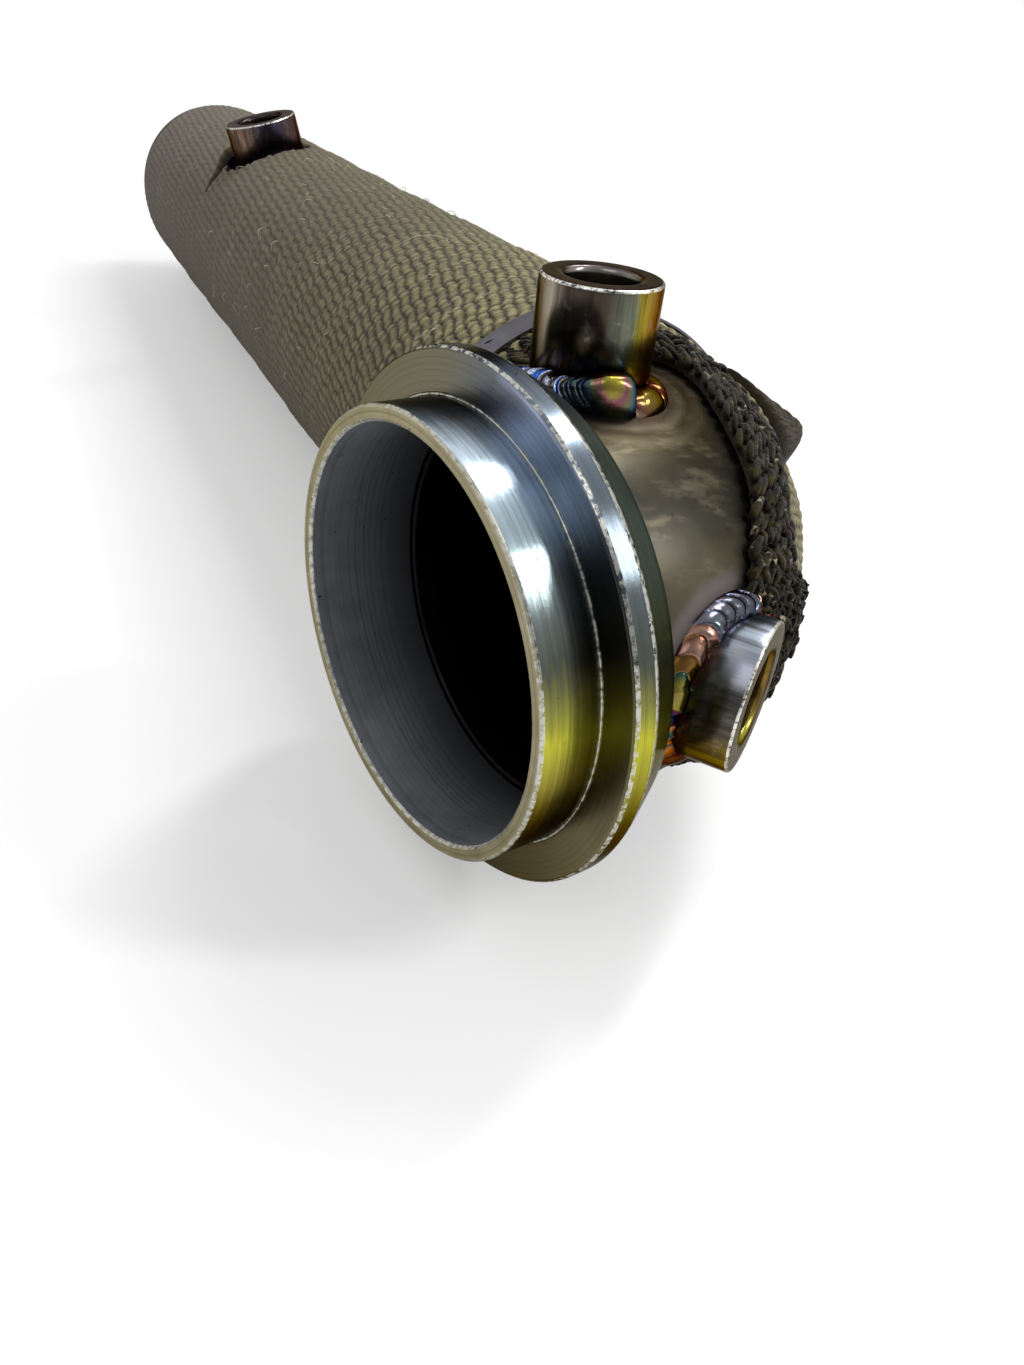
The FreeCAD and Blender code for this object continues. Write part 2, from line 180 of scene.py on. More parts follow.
class Nodes:
    """Short way to write the node tree of a material or the world."""

    def __init__(self, owner):
        owner.use_nodes = True
        self.tree = owner.node_tree

    def node(self, kind, **values):
        made = self.tree.nodes.new(kind)
        for key, value in values.items():
            setattr(made, key, value)
        return made

    def put(self, value, socket):
        if isinstance(value, bpy.types.NodeSocket):
            self.tree.links.new(value, socket)
        else:
            socket.default_value = value

    def place(self):
        return self.node("ShaderNodeTexCoord").outputs["Object"]

    def attribute(self, name):
        return self.node("ShaderNodeAttribute", attribute_name=name).outputs["Fac"]

    def math(self, operation, a, b=0.0, c=0.0):
        made = self.node("ShaderNodeMath", operation=operation)
        for value, socket in zip((a, b, c), made.inputs):
            self.put(value, socket)
        return made.outputs[0]

    def add(self, a, b):
        return self.math("ADD", a, b)

    def times(self, a, b):
        return self.math("MULTIPLY", a, b)

    def around(self, value, size):
        """Noise made into a swing of `size` either side of nothing."""
        return self.times(self.math("SUBTRACT", value, 0.5), size)

    def above(self, value, edge):
        return self.math("GREATER_THAN", value, edge)

    def below(self, value, edge):
        return self.math("LESS_THAN", value, edge)

    def between(self, value, low, high):
        return self.times(self.above(value, low), self.below(value, high))

    def vector_math(self, operation, a, b):
        made = self.node("ShaderNodeVectorMath", operation=operation)
        self.put(a, made.inputs[0])
        self.put(tuple(float(k) for k in b), made.inputs[1])
        return made.outputs

    def vector(self, operation, a, b):
        return self.vector_math(operation, a, b)["Vector"]

    def dot(self, a, b):
        return self.vector_math("DOT_PRODUCT", a, b)["Value"]

    def away(self, where, centre):
        return self.vector_math("DISTANCE", where, centre)["Value"]

    def split(self, value):
        made = self.node("ShaderNodeSeparateXYZ")
        self.put(value, made.inputs[0])
        return made.outputs

    def join(self, x, y, z):
        made = self.node("ShaderNodeCombineXYZ")
        for value, socket in zip((x, y, z), made.inputs):
            self.put(value, socket)
        return made.outputs[0]

    def noise(self, where, scale, detail=3.0, roughness=0.55, distortion=0.0):
        made = self.node("ShaderNodeTexNoise")
        self.put(where, made.inputs["Vector"])
        made.inputs["Scale"].default_value = scale
        made.inputs["Detail"].default_value = detail
        made.inputs["Roughness"].default_value = roughness
        made.inputs["Distortion"].default_value = distortion
        return made.outputs["Fac"]

    def ramp(self, value, stops):
        """Colour ramp of (position, red, green, blue) stops, as seen on screen."""
        made = self.node("ShaderNodeValToRGB")
        elements = made.color_ramp.elements
        elements[0].position, elements[1].position = stops[0][0], stops[-1][0]
        for position, *_ in stops[1:-1]:
            elements.new(position)
        for element, (_, *colour) in zip(elements, stops):
            element.color = srgb(*colour)
        self.put(value, made.inputs[0])
        return made.outputs["Color"]

    def mix(self, factor, a, b):
        made = self.node("ShaderNodeMix", data_type="RGBA")
        self.put(factor, made.inputs["Factor"])
        self.put(a, made.inputs[6])
        self.put(b, made.inputs[7])
        return made.outputs[2]

    def span(self, value, low, high, to_low=0.0, to_high=1.0):
        made = self.node("ShaderNodeMapRange", interpolation_type="SMOOTHSTEP")
        self.put(value, made.inputs["Value"])
        for key, number in (("From Min", low), ("From Max", high), ("To Min", to_low), ("To Max", to_high)):
            made.inputs[key].default_value = number
        return made.outputs[0]

    def bump(self, height, strength, distance, normal=None):
        made = self.node("ShaderNodeBump")
        made.inputs["Strength"].default_value = strength
        made.inputs["Distance"].default_value = distance
        self.put(height, made.inputs["Height"])
        if normal is not None:
            self.put(normal, made.inputs["Normal"])
        return made.outputs[0]

    def turn(self, up_part, side_part):
        """Angle as 0 to 1, with 0.5 along `side_part`."""
        return self.add(self.math("DIVIDE", self.math("ARCTAN2", up_part, side_part), 2 * math.pi), 0.5)

    def seen(self):
        """1 for rays from the camera, off metal or through glass, and 0 for those that light things."""
        rays = self.node("ShaderNodeLightPath").outputs
        direct = self.math("MAXIMUM", rays["Is Camera Ray"], rays["Is Glossy Ray"])
        return self.math("MAXIMUM", direct, rays["Is Transmission Ray"])


class Material(Nodes):
    """A new material's node tree, with its shader at hand."""

    def __init__(self, name):
        self.material = bpy.data.materials.new(name)
        super().__init__(self.material)
        self.shader = self.tree.nodes["Principled BSDF"]
        self.set(Specular_Tint=edge_tint)

    def set(self, **values):
        for key, value in values.items():
            self.put(value, self.shader.inputs[key.replace("_", " ")])


def flange_metal():
    """Lathe-turned steel: grooves, bright nicked edges, and colours that go round it as painted reflections
    and painted shade: a blue-white band near the top, a straw-yellow band and dark bands.
    """
    n = Material("flange_steel")
    where = n.place()
    x, y, z = n.split(where)
    radius = n.math("SQRT", n.add(n.times(x, x), n.times(z, z)))
    rings = n.join(radius, y, 0.0)
    fine = n.noise(rings, 4200.0, 2.0, 0.7)
    coarse = n.noise(rings, 800.0, 2.0, 0.6)
    cloud = n.noise(where, 42.0, 4.0, 0.6)
    blotch = n.noise(where, 150.0, 5.0, 0.65)
    turn = n.add(n.turn(z, x), n.add(n.around(cloud, 0.05), n.around(coarse, 0.03)))

    # Masks of the flange's surfaces
    face = n.times(n.between(radius, (spigot_radius + 0.2) * MM, (flange_radius - 0.4) * MM),
                   n.between(y, -0.4 * MM, 0.4 * MM))
    behind_rim = n.above(y, (rim_width + 0.2) * MM)
    painted_shade_slope = n.times(n.above(radius, (flange_back_radius - 0.6) * MM), n.span(turn, 0.58, 0.66))
    mouth = n.times(n.below(y, (0.35 - spigot_length) * MM), n.above(radius, (bore_radius + 0.1) * MM))
    inside = n.below(radius, (bore_radius + 0.2) * MM)
    rim = n.times(n.above(radius, (flange_radius - 0.5) * MM), n.span(turn, 0.54, 0.62, 0.0, 0.7))

    # Masks of its worn edges
    rim_edge = n.times(n.between(y, (rim_width - 0.4) * MM, (rim_width + 0.4) * MM),
                       n.above(radius, (flange_radius - 0.6) * MM))
    wear = n.add(n.between(radius, (flange_radius - 0.45) * MM, (flange_radius + 0.2) * MM), rim_edge)
    wear = n.times(wear, n.add(n.below(y, 0.8 * MM), n.above(y, (rim_width - 0.4) * MM)))
    root = n.times(n.between(radius, (spigot_radius - 0.1) * MM, (spigot_radius + 0.5) * MM),
                   n.between(y, -0.6 * MM, 0.6 * MM))
    lip_sides = n.add(n.above(radius, (spigot_radius - 0.6) * MM), n.below(radius, (bore_radius + 0.6) * MM))
    lip = n.times(n.below(y, (0.6 - spigot_length) * MM), lip_sides)
    nicks = n.span(n.noise(where, 900.0, 3.0, 0.7), 0.38, 0.6)

    # Colours by angle round the axis, for the outside and then for the face: the blue-white and straw-yellow
    # bands are painted reflections, the dark bands painted shade.
    base = n.ramp(turn, [
        (0.06, 112, 106, 92), (0.30, 118, 110, 90), (0.41, 92, 84, 58), (0.465, 112, 102, 62),
        (0.495, 160, 152, 66), (0.522, 186, 184, 60), (0.54, 140, 140, 66), (0.565, 84, 88, 78),
        (0.61, 122, 136, 138), (0.66, 168, 186, 196), (0.71, 196, 212, 226), (0.745, 110, 118, 130),
        (0.80, 74, 76, 80), (0.88, 96, 96, 94), (0.95, 104, 100, 88)])
    base = n.mix(face, base, n.ramp(turn, [
        (0.1, 110, 104, 88), (0.27, 92, 90, 82), (0.36, 104, 96, 74), (0.44, 122, 112, 88),
        (0.50, 92, 86, 64), (0.525, 98, 96, 58), (0.57, 56, 55, 48), (0.62, 66, 70, 76),
        (0.665, 130, 140, 160), (0.70, 166, 176, 202), (0.735, 104, 110, 116), (0.78, 118, 116, 102),
        (0.86, 122, 118, 100)]))
    back = n.times(behind_rim, n.above(radius, (elbow_radius + 1.4) * MM))
    base = n.mix(back, base, n.mix(0.45, base, srgb(84, 88, 76)))
    # Painted shade: the back slope darker and greener on one side.
    base = n.mix(n.times(n.times(behind_rim, painted_shade_slope), 0.55), base, srgb(70, 80, 72))
    base = n.mix(mouth, base, n.ramp(blotch, [(0.3, 150, 142, 114), (0.7, 176, 168, 140)]))
    # Darker deeper in the bore, lighter near its mouth.
    clean = n.ramp(cloud, [(0.3, 104, 108, 112), (0.7, 150, 154, 160)])
    darker_inward = n.mix(n.span(n.add(y, n.around(cloud, 0.008)), -0.009, 0.014), clean, srgb(58, 60, 66))
    base = n.mix(inside, base, darker_inward)
    streaks = n.span(n.noise(rings, 1700.0, 3.0, 0.7), 0.46, 0.72, 0.0, 0.5)
    base = n.mix(streaks, base, srgb(62, 62, 58))
    # Painted dark reflection: the rim darker and bluer from one side up over the top.
    base = n.mix(rim, base, srgb(58, 62, 74))
    base = n.mix(n.times(n.add(wear, n.add(root, lip)), nicks), base, srgb(196, 196, 188))
    grime = n.times(n.span(blotch, 0.60, 0.78), 0.4)
    base = n.mix(grime, base, srgb(66, 60, 46))
    pit = n.span(n.noise(where, 640.0, 2.0, 0.5), 0.735, 0.76)
    base = n.mix(pit, base, srgb(24, 22, 20))

    rough = n.add(n.times(coarse, 0.10), n.times(blotch, 0.12))
    n.set(Base_Color=base, Metallic=n.math("SUBTRACT", 1.0, n.times(inside, 0.45)))
    n.set(Roughness=n.add(n.add(rough, n.times(inside, 0.25)), n.add(0.12, n.times(mouth, 0.18))))
    n.set(Anisotropic=0.6, Anisotropic_Rotation=0.25)
    n.set(Tangent=n.node("ShaderNodeTangent", direction_type="RADIAL", axis="Y").outputs[0])
    n.set(Normal=n.bump(pit, 0.5, 0.0002, n.bump(coarse, 0.25, 0.0001, n.bump(fine, 0.3, 0.00003))))
    return n.material


def satin_metal():
    """The elbow's satin wall: taupe, cloudy, lighter and greyer towards the top as painted light, with paler
    rings of heat round both bosses' feet.
    """
    n = Material("elbow_satin")
    where = n.place()
    cloud = n.noise(where, 30.0, 5.0, 0.6, 0.8)
    blotch = n.noise(where, 110.0, 5.0, 0.7, 0.4)
    # Painted light: lighter and greyer towards the top, darker and browner below.
    height = n.split(where)[2]
    tone = n.add(n.span(height, -0.03, 0.036), n.around(cloud, 0.5))
    base = n.ramp(tone, [
        (0.0, 54, 47, 28), (0.3, 46, 42, 27), (0.6, 68, 65, 52), (0.85, 60, 58, 50), (1.0, 60, 58, 52)])
    base = n.mix(n.span(blotch, 0.52, 0.75, 0.0, 0.45), base, srgb(76, 68, 48))
    warp = n.around(cloud, 0.006)
    # Rings of heat: the middle of a boss's foot, the rings' reach in metres, and their colours outwards
    tall_rings = (tall_mouth - tall_axis * 21.0, 0.030, [
        (0.0, 82, 62, 42), (0.28, 88, 72, 56), (0.42, 72, 64, 58), (0.52, 90, 83, 71), (0.60, 60, 54, 44),
        (0.74, 76, 70, 59), (0.82, 58, 53, 44), (1.0, 60, 57, 47)])
    side_rings = (side_mouth - side_axis * 7.0, 0.028, [
        (0.0, 92, 74, 56), (0.5, 96, 86, 90), (0.68, 108, 102, 100), (0.8, 84, 78, 66), (1.0, 82, 76, 60)])
    for foot, reach, stops in (tall_rings, side_rings):
        away = n.add(n.away(where, foot * MM), warp)
        ring = n.ramp(n.span(away, 0.006, reach), stops)
        base = n.mix(n.span(away, reach * 0.72, reach, 0.85, 0.0), base, ring)
    specks = n.span(n.noise(where, 700.0, 2.0), 0.70, 0.74)
    base = n.mix(n.times(specks, 0.6), base, srgb(40, 34, 26))
    smear = n.noise(n.vector("MULTIPLY", where, (1.0, 0.3, 0.3)), 260.0, 4.0, 0.7)
    base = n.mix(n.span(smear, 0.5, 0.75, 0.0, 0.45), base, srgb(118, 112, 94))
    n.set(Base_Color=base, Metallic=1.0)
    n.set(Roughness=n.add(n.times(blotch, 0.2), n.add(n.times(smear, 0.14), 0.20)))
    brushed = n.noise(n.vector("MULTIPLY", where, (1.0, 0.25, 1.0)), 1500.0, 3.0, 0.6)
    n.set(Normal=n.bump(brushed, 0.22, 0.00008, n.bump(cloud, 0.12, 0.001)))
    return n.material


def soot_metal():
    """The dark, heat-browned inside of the elbow."""
    n = Material("elbow_soot")
    where = n.place()
    cloud = n.noise(where, 60.0, 5.0, 0.65)
    n.set(Base_Color=n.ramp(cloud, [(0.35, 16, 17, 20), (0.6, 30, 28, 28), (0.8, 52, 42, 34)]), Metallic=1.0)
    n.set(Roughness=n.add(n.times(cloud, 0.3), 0.25), Normal=n.bump(n.noise(where, 900.0), 0.2, 0.0001))
    return n.material


def boss_metal(name, axis, mouth, radius, bore, flip, roughness, heat_from, stops, face, inner, heat):
    """Turned boss with streaks along its axis and a bright worn rim. `stops` go round its side and `inner`
    round its bore, `face` is its mouth's, and the `heat` stain ends `heat_from` mm along the axis from the
    mouth. A `flip` of -1 starts the colours on the other side."""
    n = Material(name)
    where = n.place()
    u, v = frame_of(axis)
    local = n.vector("SUBTRACT", where, mouth * MM)
    along_u, along_v, rise = n.dot(local, u * flip), n.dot(local, v * flip), n.dot(local, axis)
    out = n.math("SQRT", n.add(n.times(along_u, along_u), n.times(along_v, along_v)))
    cloud = n.noise(where, 140.0, 4.0, 0.6)
    streak = n.noise(n.join(along_u, along_v, n.times(rise, 0.06)), 420.0, 4.0, 0.65)
    turn = n.add(n.turn(along_v, along_u), n.add(n.around(cloud, 0.035), n.around(streak, 0.05)))
    base = n.ramp(turn, stops)
    base = n.mix(n.span(streak, 0.42, 0.66, 0.0, 0.75), base, srgb(48, 43, 40))
    scuffs = n.span(n.noise(where, 330.0, 4.0, 0.7), 0.55, 0.75, 0.0, 0.35)
    base = n.mix(scuffs, base, srgb(170, 164, 150))
    low = n.add(rise, n.around(cloud, 0.005))
    stained = n.span(low, (heat_from - 4.0) * MM, heat_from * MM, 0.85, 0.0)
    base = n.mix(stained, base, n.ramp(cloud, heat))
    base = n.mix(n.above(rise, -0.2 * MM), base, n.ramp(cloud, face))
    base = n.mix(n.below(out, (bore + 0.6) * MM), base, n.ramp(turn, inner))
    rim = n.times(n.above(out, (radius - 0.5) * MM), n.above(rise, -0.5 * MM))
    nicks = n.span(n.noise(where, 1100.0, 3.0, 0.7), 0.36, 0.56)
    base = n.mix(n.times(rim, nicks), base, srgb(226, 224, 218))
    n.set(Base_Color=base, Metallic=1.0, Roughness=n.add(n.times(streak, 0.14), roughness))
    grooves = n.noise(n.join(rise, 0.0, 0.0), 4200.0, 2.0, 0.6)
    n.set(Normal=n.bump(grooves, 0.2, 0.00003, n.bump(streak, 0.15, 0.0002)))
    return n.material


flange_steel = flange_metal()
elbow_satin = satin_metal()
elbow_soot = soot_metal()
# The tall boss: the pale band in the colours round its side is a painted highlight.
tall_steel = boss_metal(
    "tall_boss_steel", tall_axis, tall_mouth, tall_radius, tall_bore,
    flip=-1.0, roughness=0.17, heat_from=-14.0,
    stops=[(0.40, 92, 82, 72), (0.45, 118, 106, 92), (0.50, 156, 146, 130), (0.54, 78, 68, 60),
           (0.60, 66, 58, 51), (0.655, 72, 62, 52), (0.69, 92, 96, 84), (0.73, 112, 116, 96),
           (0.75, 168, 156, 48), (0.77, 150, 126, 52), (0.80, 146, 112, 66), (0.88, 152, 118, 80)],
    face=[(0.35, 66, 62, 66), (0.65, 104, 98, 100)],
    inner=[(0.3, 120, 116, 112), (0.5, 70, 66, 60), (0.7, 160, 154, 120), (0.9, 110, 104, 98)],
    heat=[(0.3, 40, 34, 34), (0.5, 92, 66, 44), (0.7, 138, 108, 44)])
# The side boss: the blue-white band round its side is a painted reflection; in its bore the yellow-green band
# is a painted highlight and the dark band painted shade.
side_steel = boss_metal(
    "side_boss_steel", side_axis, side_mouth, wide_radius, wide_bore,
    flip=1.0, roughness=0.18, heat_from=-6.5,
    stops=[(0.05, 84, 78, 72), (0.20, 150, 156, 164), (0.28, 172, 182, 196), (0.36, 134, 138, 150),
           (0.44, 104, 102, 100), (0.505, 86, 80, 66), (0.535, 120, 100, 48), (0.60, 156, 132, 60),
           (0.68, 138, 114, 62), (0.78, 112, 92, 56), (0.95, 84, 76, 62)],
    face=[(0.35, 84, 76, 54), (0.65, 118, 108, 82)],
    inner=[(0.1, 110, 88, 40), (0.3, 170, 138, 56), (0.45, 60, 46, 34), (0.6, 40, 32, 30),
           (0.75, 150, 146, 66), (0.9, 120, 96, 50)],
    heat=[(0.3, 74, 66, 70), (0.5, 110, 98, 96), (0.7, 140, 120, 84)])
rear_steel = boss_metal(
    "rear_boss_steel", rear_axis, rear_mouth, wide_radius, wide_bore,
    flip=-1.0, roughness=0.22, heat_from=-7.0,
    stops=[(0.44, 40, 38, 52), (0.50, 108, 92, 80), (0.60, 112, 90, 76), (0.68, 66, 58, 72),
           (0.74, 48, 48, 72), (0.80, 78, 64, 68), (0.90, 98, 78, 70)],
    face=[(0.35, 58, 54, 72), (0.65, 96, 80, 88)],
    inner=[(0.3, 60, 52, 50), (0.7, 90, 76, 62)],
    heat=[(0.3, 44, 42, 66), (0.5, 92, 70, 60), (0.7, 120, 88, 66)])


def bead_metal(name, stops, blur=0.05):
    """Weld bead: its `tone` runs through the heat colours."""
    n = Material(name)
    where = n.place()
    cloud = n.noise(where, 260.0, 4.0, 0.6)
    fine = n.noise(where, 1100.0, 3.0, 0.6)
    tone = n.add(n.attribute("tone"), n.add(n.around(cloud, blur * 2), n.around(fine, blur)))
    n.set(Base_Color=n.ramp(tone, stops), Metallic=1.0, Roughness=n.add(n.times(fine, 0.22), 0.10))
    n.set(Normal=n.bump(fine, 0.3, 0.00012))
    return n.material


# Tall boss's bead: 0 to 0.3 are blue and white ripples, 0.35 to 0.7 the big lump, 0.75 to 1 the straw drip
tall_bead_metal = bead_metal("bead_rainbow", [
    (0.00, 16, 16, 24), (0.06, 24, 34, 96), (0.11, 60, 100, 190), (0.16, 200, 212, 232), (0.20, 96, 90, 100),
    (0.28, 110, 88, 66), (0.35, 168, 150, 60), (0.42, 140, 132, 56), (0.47, 120, 70, 84), (0.53, 96, 104, 70),
    (0.58, 60, 82, 100), (0.63, 20, 26, 60), (0.68, 140, 132, 86), (0.75, 120, 106, 52), (0.85, 102, 82, 46),
    (0.93, 100, 62, 56), (1.00, 46, 38, 66)], 0.035)
# Side boss's bead: 0 to 0.25 grey lumps, 0.3 to 0.5 copper, 0.55 to 0.75 the green oval, 0.8 to 1 ripples
side_bead_metal = bead_metal("bead_copper", [
    (0.00, 44, 50, 60), (0.08, 84, 94, 100), (0.15, 92, 88, 98), (0.20, 62, 74, 90), (0.27, 96, 92, 92),
    (0.33, 148, 114, 100), (0.40, 88, 58, 50), (0.46, 124, 92, 42), (0.51, 86, 58, 32), (0.57, 134, 112, 66),
    (0.64, 122, 118, 52), (0.70, 52, 84, 64), (0.74, 30, 40, 80), (0.78, 90, 30, 36), (0.84, 50, 92, 92),
    (0.90, 176, 108, 40), (0.96, 60, 74, 76)], 0.03)
grey_bead_metal = bead_metal("bead_grey", [
    (0.0, 44, 42, 34), (0.4, 84, 82, 68), (0.75, 118, 118, 104), (1.0, 176, 182, 172)], 0.2)
blued_bead_metal = bead_metal("bead_blued", [
    (0.0, 20, 22, 46), (0.35, 40, 44, 96), (0.6, 96, 78, 92), (0.85, 130, 132, 160)], 0.1)


def plain_metal(name, stops, roughness, blue_reach=0.0):
    """Rolled steel with a cloudy finish, blued by heat round the rear boss if `blue_reach` isn't nothing."""
    n = Material(name)
    where = n.place()
    cloud = n.noise(where, 64.0, 5.0, 0.65)
    base = n.ramp(cloud, stops)
    if blue_reach:
        away = n.away(where, (rear_mouth - rear_axis * rear_height) * MM)
        blue = n.ramp(cloud, [(0.3, 14, 18, 52), (0.55, 26, 28, 70), (0.8, 70, 44, 58)])
        base = n.mix(n.span(away, blue_reach * 0.6, blue_reach, 1.0, 0.0), base, blue)
    n.set(Base_Color=base, Metallic=1.0, Roughness=n.add(n.times(cloud, 0.2), roughness))
    n.set(Normal=n.bump(n.noise(where, 1300.0, 3.0, 0.6), 0.15, 0.00005))
    return n.material


tie_metal = plain_metal("tie_metal", [(0.3, 96, 94, 98), (0.7, 126, 126, 134)], 0.26)
blued_pipe = plain_metal("pipe_metal", [(0.3, 108, 102, 92), (0.7, 136, 130, 120)], 0.22, 0.045)


def make_mesh(name, points, quads, material, **attributes):
    """A smooth mesh object from points in mm and four-sided faces, turned to face outwards."""
    points = np.asarray(points, float).reshape(-1, 3) * MM
    quads = np.asarray(quads).reshape(-1, 4)
    a, b, c, d = (points[quads[:, k]] for k in range(4))
    volume = (np.cross(a, b) * c).sum() + (np.cross(a, c) * d).sum()
    if volume < 0:
        quads = quads[:, ::-1]
    mesh = bpy.data.meshes.new(name)
    mesh.vertices.add(len(points))
    mesh.vertices.foreach_set("co", points.ravel())
    mesh.loops.add(quads.size)
    mesh.loops.foreach_set("vertex_index", quads.ravel().astype(np.int32))
    mesh.polygons.add(len(quads))
    mesh.polygons.foreach_set("loop_start", np.arange(0, quads.size, 4, dtype=np.int32))
    mesh.update(calc_edges=True)
    mesh.validate()
    mesh.shade_smooth()
    for key, values in attributes.items():
        layer = mesh.attributes.new(key, "FLOAT", "POINT")
        layer.data.foreach_set("value", np.asarray(values, np.float32).ravel())
    mesh.materials.append(material)
    made = bpy.data.objects.new(name, mesh)
    bpy.context.scene.collection.objects.link(made)
    return made


def grid_quads(rows, columns, close_rows=False, close_columns=False, start=0):
    """Faces between neighbours of a grid of points, which may close on itself either way."""
    index = np.arange(rows * columns).reshape(rows, columns) + start
    if close_rows:
        index = np.vstack([index, index[:1]])
    if close_columns:
        index = np.hstack([index, index[:, :1]])
    return np.stack([index[:-1, :-1], index[1:, :-1], index[1:, 1:], index[:-1, 1:]], axis=-1).reshape(-1, 4)


def eased(corners, ease, close=True):
    """An outline with each corner rounded by about `ease`, and a support point beside each round."""
    share, beside, roomy = 0.4, 1.8, 4.0
    corners = [np.asarray(c, float) for c in corners]
    out = []
    count = len(corners)
    for i, corner in enumerate(corners):
        before, after = corners[i - 1], corners[(i + 1) % count]
        if not close and i in (0, count - 1):
            out.append(corner)
            continue
        room_a, room_b = np.linalg.norm(before - corner), np.linalg.norm(after - corner)
        cut = min(ease, room_a * share, room_b * share)
        to_a, to_b = (before - corner) / room_a, (after - corner) / room_b
        first, last = corner + to_a * cut, corner + to_b * cut
        if room_a > roomy * ease:
            out.append(corner + to_a * cut * beside)
        for t in (0.0, 0.25, 0.5, 0.75, 1.0):
            out.append(first * (1 - t) ** 2 + corner * 2 * t * (1 - t) + last * t ** 2)
        if room_b > roomy * ease:
            out.append(corner + to_b * cut * beside)
    return np.array(out)


def lathe(name, outline, base, axis, material, segments=256):
    """Closed outline of (distance along the axis, radius) turned about it."""
    axis = np.asarray(axis, float)
    u, v = frame_of(axis)
    turn = np.linspace(0, 2 * np.pi, segments, endpoint=False)
    around = col(np.cos(turn)) * u + col(np.sin(turn)) * v
    outline = np.asarray(outline, float)
    points = np.asarray(base, float) + outline[None, :, :1] * axis + outline[None, :, 1:] * around[:, None, :]
    return make_mesh(name, points, grid_quads(segments, len(outline), True, True), material)


def finish_piece(piece, slot, *replaced):
    """Hides the CAD nodes that a piece stands for, and gives the piece its body. `slot` is not used."""
    if replaced:
        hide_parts(*replaced)
    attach(piece, "root")


# Inlet flange: (distance along the axis, radius), with a small relief at the spigot's root
relief = 0.12
flange_outline = eased([
    (-spigot_length, bore_radius + 0.55), (-spigot_length, spigot_radius - 0.45),
    (-spigot_length + 0.45, spigot_radius), (-0.35, spigot_radius), (relief, spigot_radius + relief),
    (relief, spigot_radius + 0.5), (0, spigot_radius + 0.6), (0, flange_radius - 0.7), (0.7, flange_radius),
    (rim_width - 0.3, flange_radius), (rim_width + 0.3, flange_radius - 0.25),
    (flange_depth - 0.3, flange_back_radius), (flange_depth, flange_back_radius - 0.4),
    (flange_depth, bore_radius), (-spigot_length + 0.55, bore_radius)], 0.16)
flange = lathe("flange_turned", flange_outline, (0, 0, 0), flow, flange_steel, 320)
finish_piece(flange, "turned_steel", "inlet_flange")

# Points round the elbow
round_elbow = 256


def elbow_sheet(radius, count_along=140):
    """Rows of points along the land and the bend at one radius."""
    land = np.linspace(flange_depth, bend_start, 6)[:-1]
    angles = np.linspace(0, bend_angle, count_along)
    roll = np.linspace(0, 360, round_elbow, endpoint=False)
    straight = [flow * y + radius * off_bend(np.zeros(round_elbow), roll) for y in land]
    bent = [on_bend(a) + radius * off_bend(np.full(round_elbow, a), roll) for a in angles]
    return np.array(straight + bent)


def drill(piece, radius, mouth, axis, depth):
    """Cuts a round hole through a piece."""
    beyond, middle = 2, 0.01
    cutter_outline = [(-depth, middle), (-depth, radius), (beyond, radius), (beyond, middle)]
    cutter = lathe("cutter", cutter_outline, mouth, axis, elbow_satin, 48)
    cut = piece.modifiers.new("cut", "BOOLEAN")
    cut.operation = "DIFFERENCE"
    cut.object = cutter
    bpy.context.view_layer.objects.active = piece
    bpy.ops.object.modifier_apply(modifier="cut")
    bpy.data.objects.remove(cutter)


def elbow_wall():
    """The hollow elbow: satin outside, sooty inside, open under both bosses."""
    outer, inner = elbow_sheet(elbow_radius), elbow_sheet(elbow_bore)
    points = np.concatenate([outer, inner[::-1]])
    piece = make_mesh("elbow_wall", points, grid_quads(len(points), round_elbow, True, True), elbow_satin)
    piece.data.materials.append(elbow_soot)
    first_inside = len(outer) * round_elbow
    for face in piece.data.polygons:
        if max(face.vertices) >= first_inside:
            face.material_index = 1
    drill(piece, tall_bore, tall_mouth, tall_axis, depth=34.0)
    drill(piece, wide_bore, side_mouth, side_axis, depth=18.0)
    finish_piece(piece, "elbow_steel", "elbow")


elbow_wall()


def boss(name, radius, bore, mouth, axis, material, node, length, ease):
    """Turned boss with eased edges, a chamfered mouth and a threaded bore."""
    chamfer, pitch, depth = 0.9, 1.5, 0.45
    corners = [(-length, radius), (0, radius), (0, bore + chamfer), (-chamfer, bore)]
    threads = []
    place = -1.1
    while place > -length + 0.6:
        threads += [(place, bore), (place - pitch * 0.5, bore + depth)]
        place -= pitch
    outline = np.array(list(eased(corners, ease, close=False)[:-1]) + threads + [(-length, bore)])
    finish_piece(lathe(name, outline, mouth, axis, material, 144), "boss_steel", node)


boss("tall_boss_turned", tall_radius, tall_bore, tall_mouth, tall_axis, tall_steel, "tall_boss",
     length=23.5, ease=0.7)
boss("side_boss_turned", wide_radius, wide_bore, side_mouth, side_axis, side_steel, "side_boss",
     length=12.5, ease=0.6)
boss("rear_boss_turned", wide_radius, wide_bore, rear_mouth, rear_axis, rear_steel, "rear_boss",
     length=18.0, ease=0.6)


def off_line(points, nearest, radius):
    """Distance from a wall at `radius` round a line, and the direction away from the line."""
    away = points - nearest
    reach = np.linalg.norm(away, axis=1)
    return reach - radius, away / col(reach)


def elbow_distance(points):
    """Distance from the elbow's wall, and the direction away from its centre line."""
    from_centre = points - bend_centre
    out = -(from_centre @ inward)
    ahead = from_centre @ flow
    length = np.hypot(out, ahead)
    bent = bend_centre + col(out / length) * -inward * bend_radius + col(ahead / length) * flow * bend_radius
    straight = flow * col(points[:, 1])
    return off_line(points, np.where(points[:, 1:2] < bend_start, straight, bent), elbow_radius)


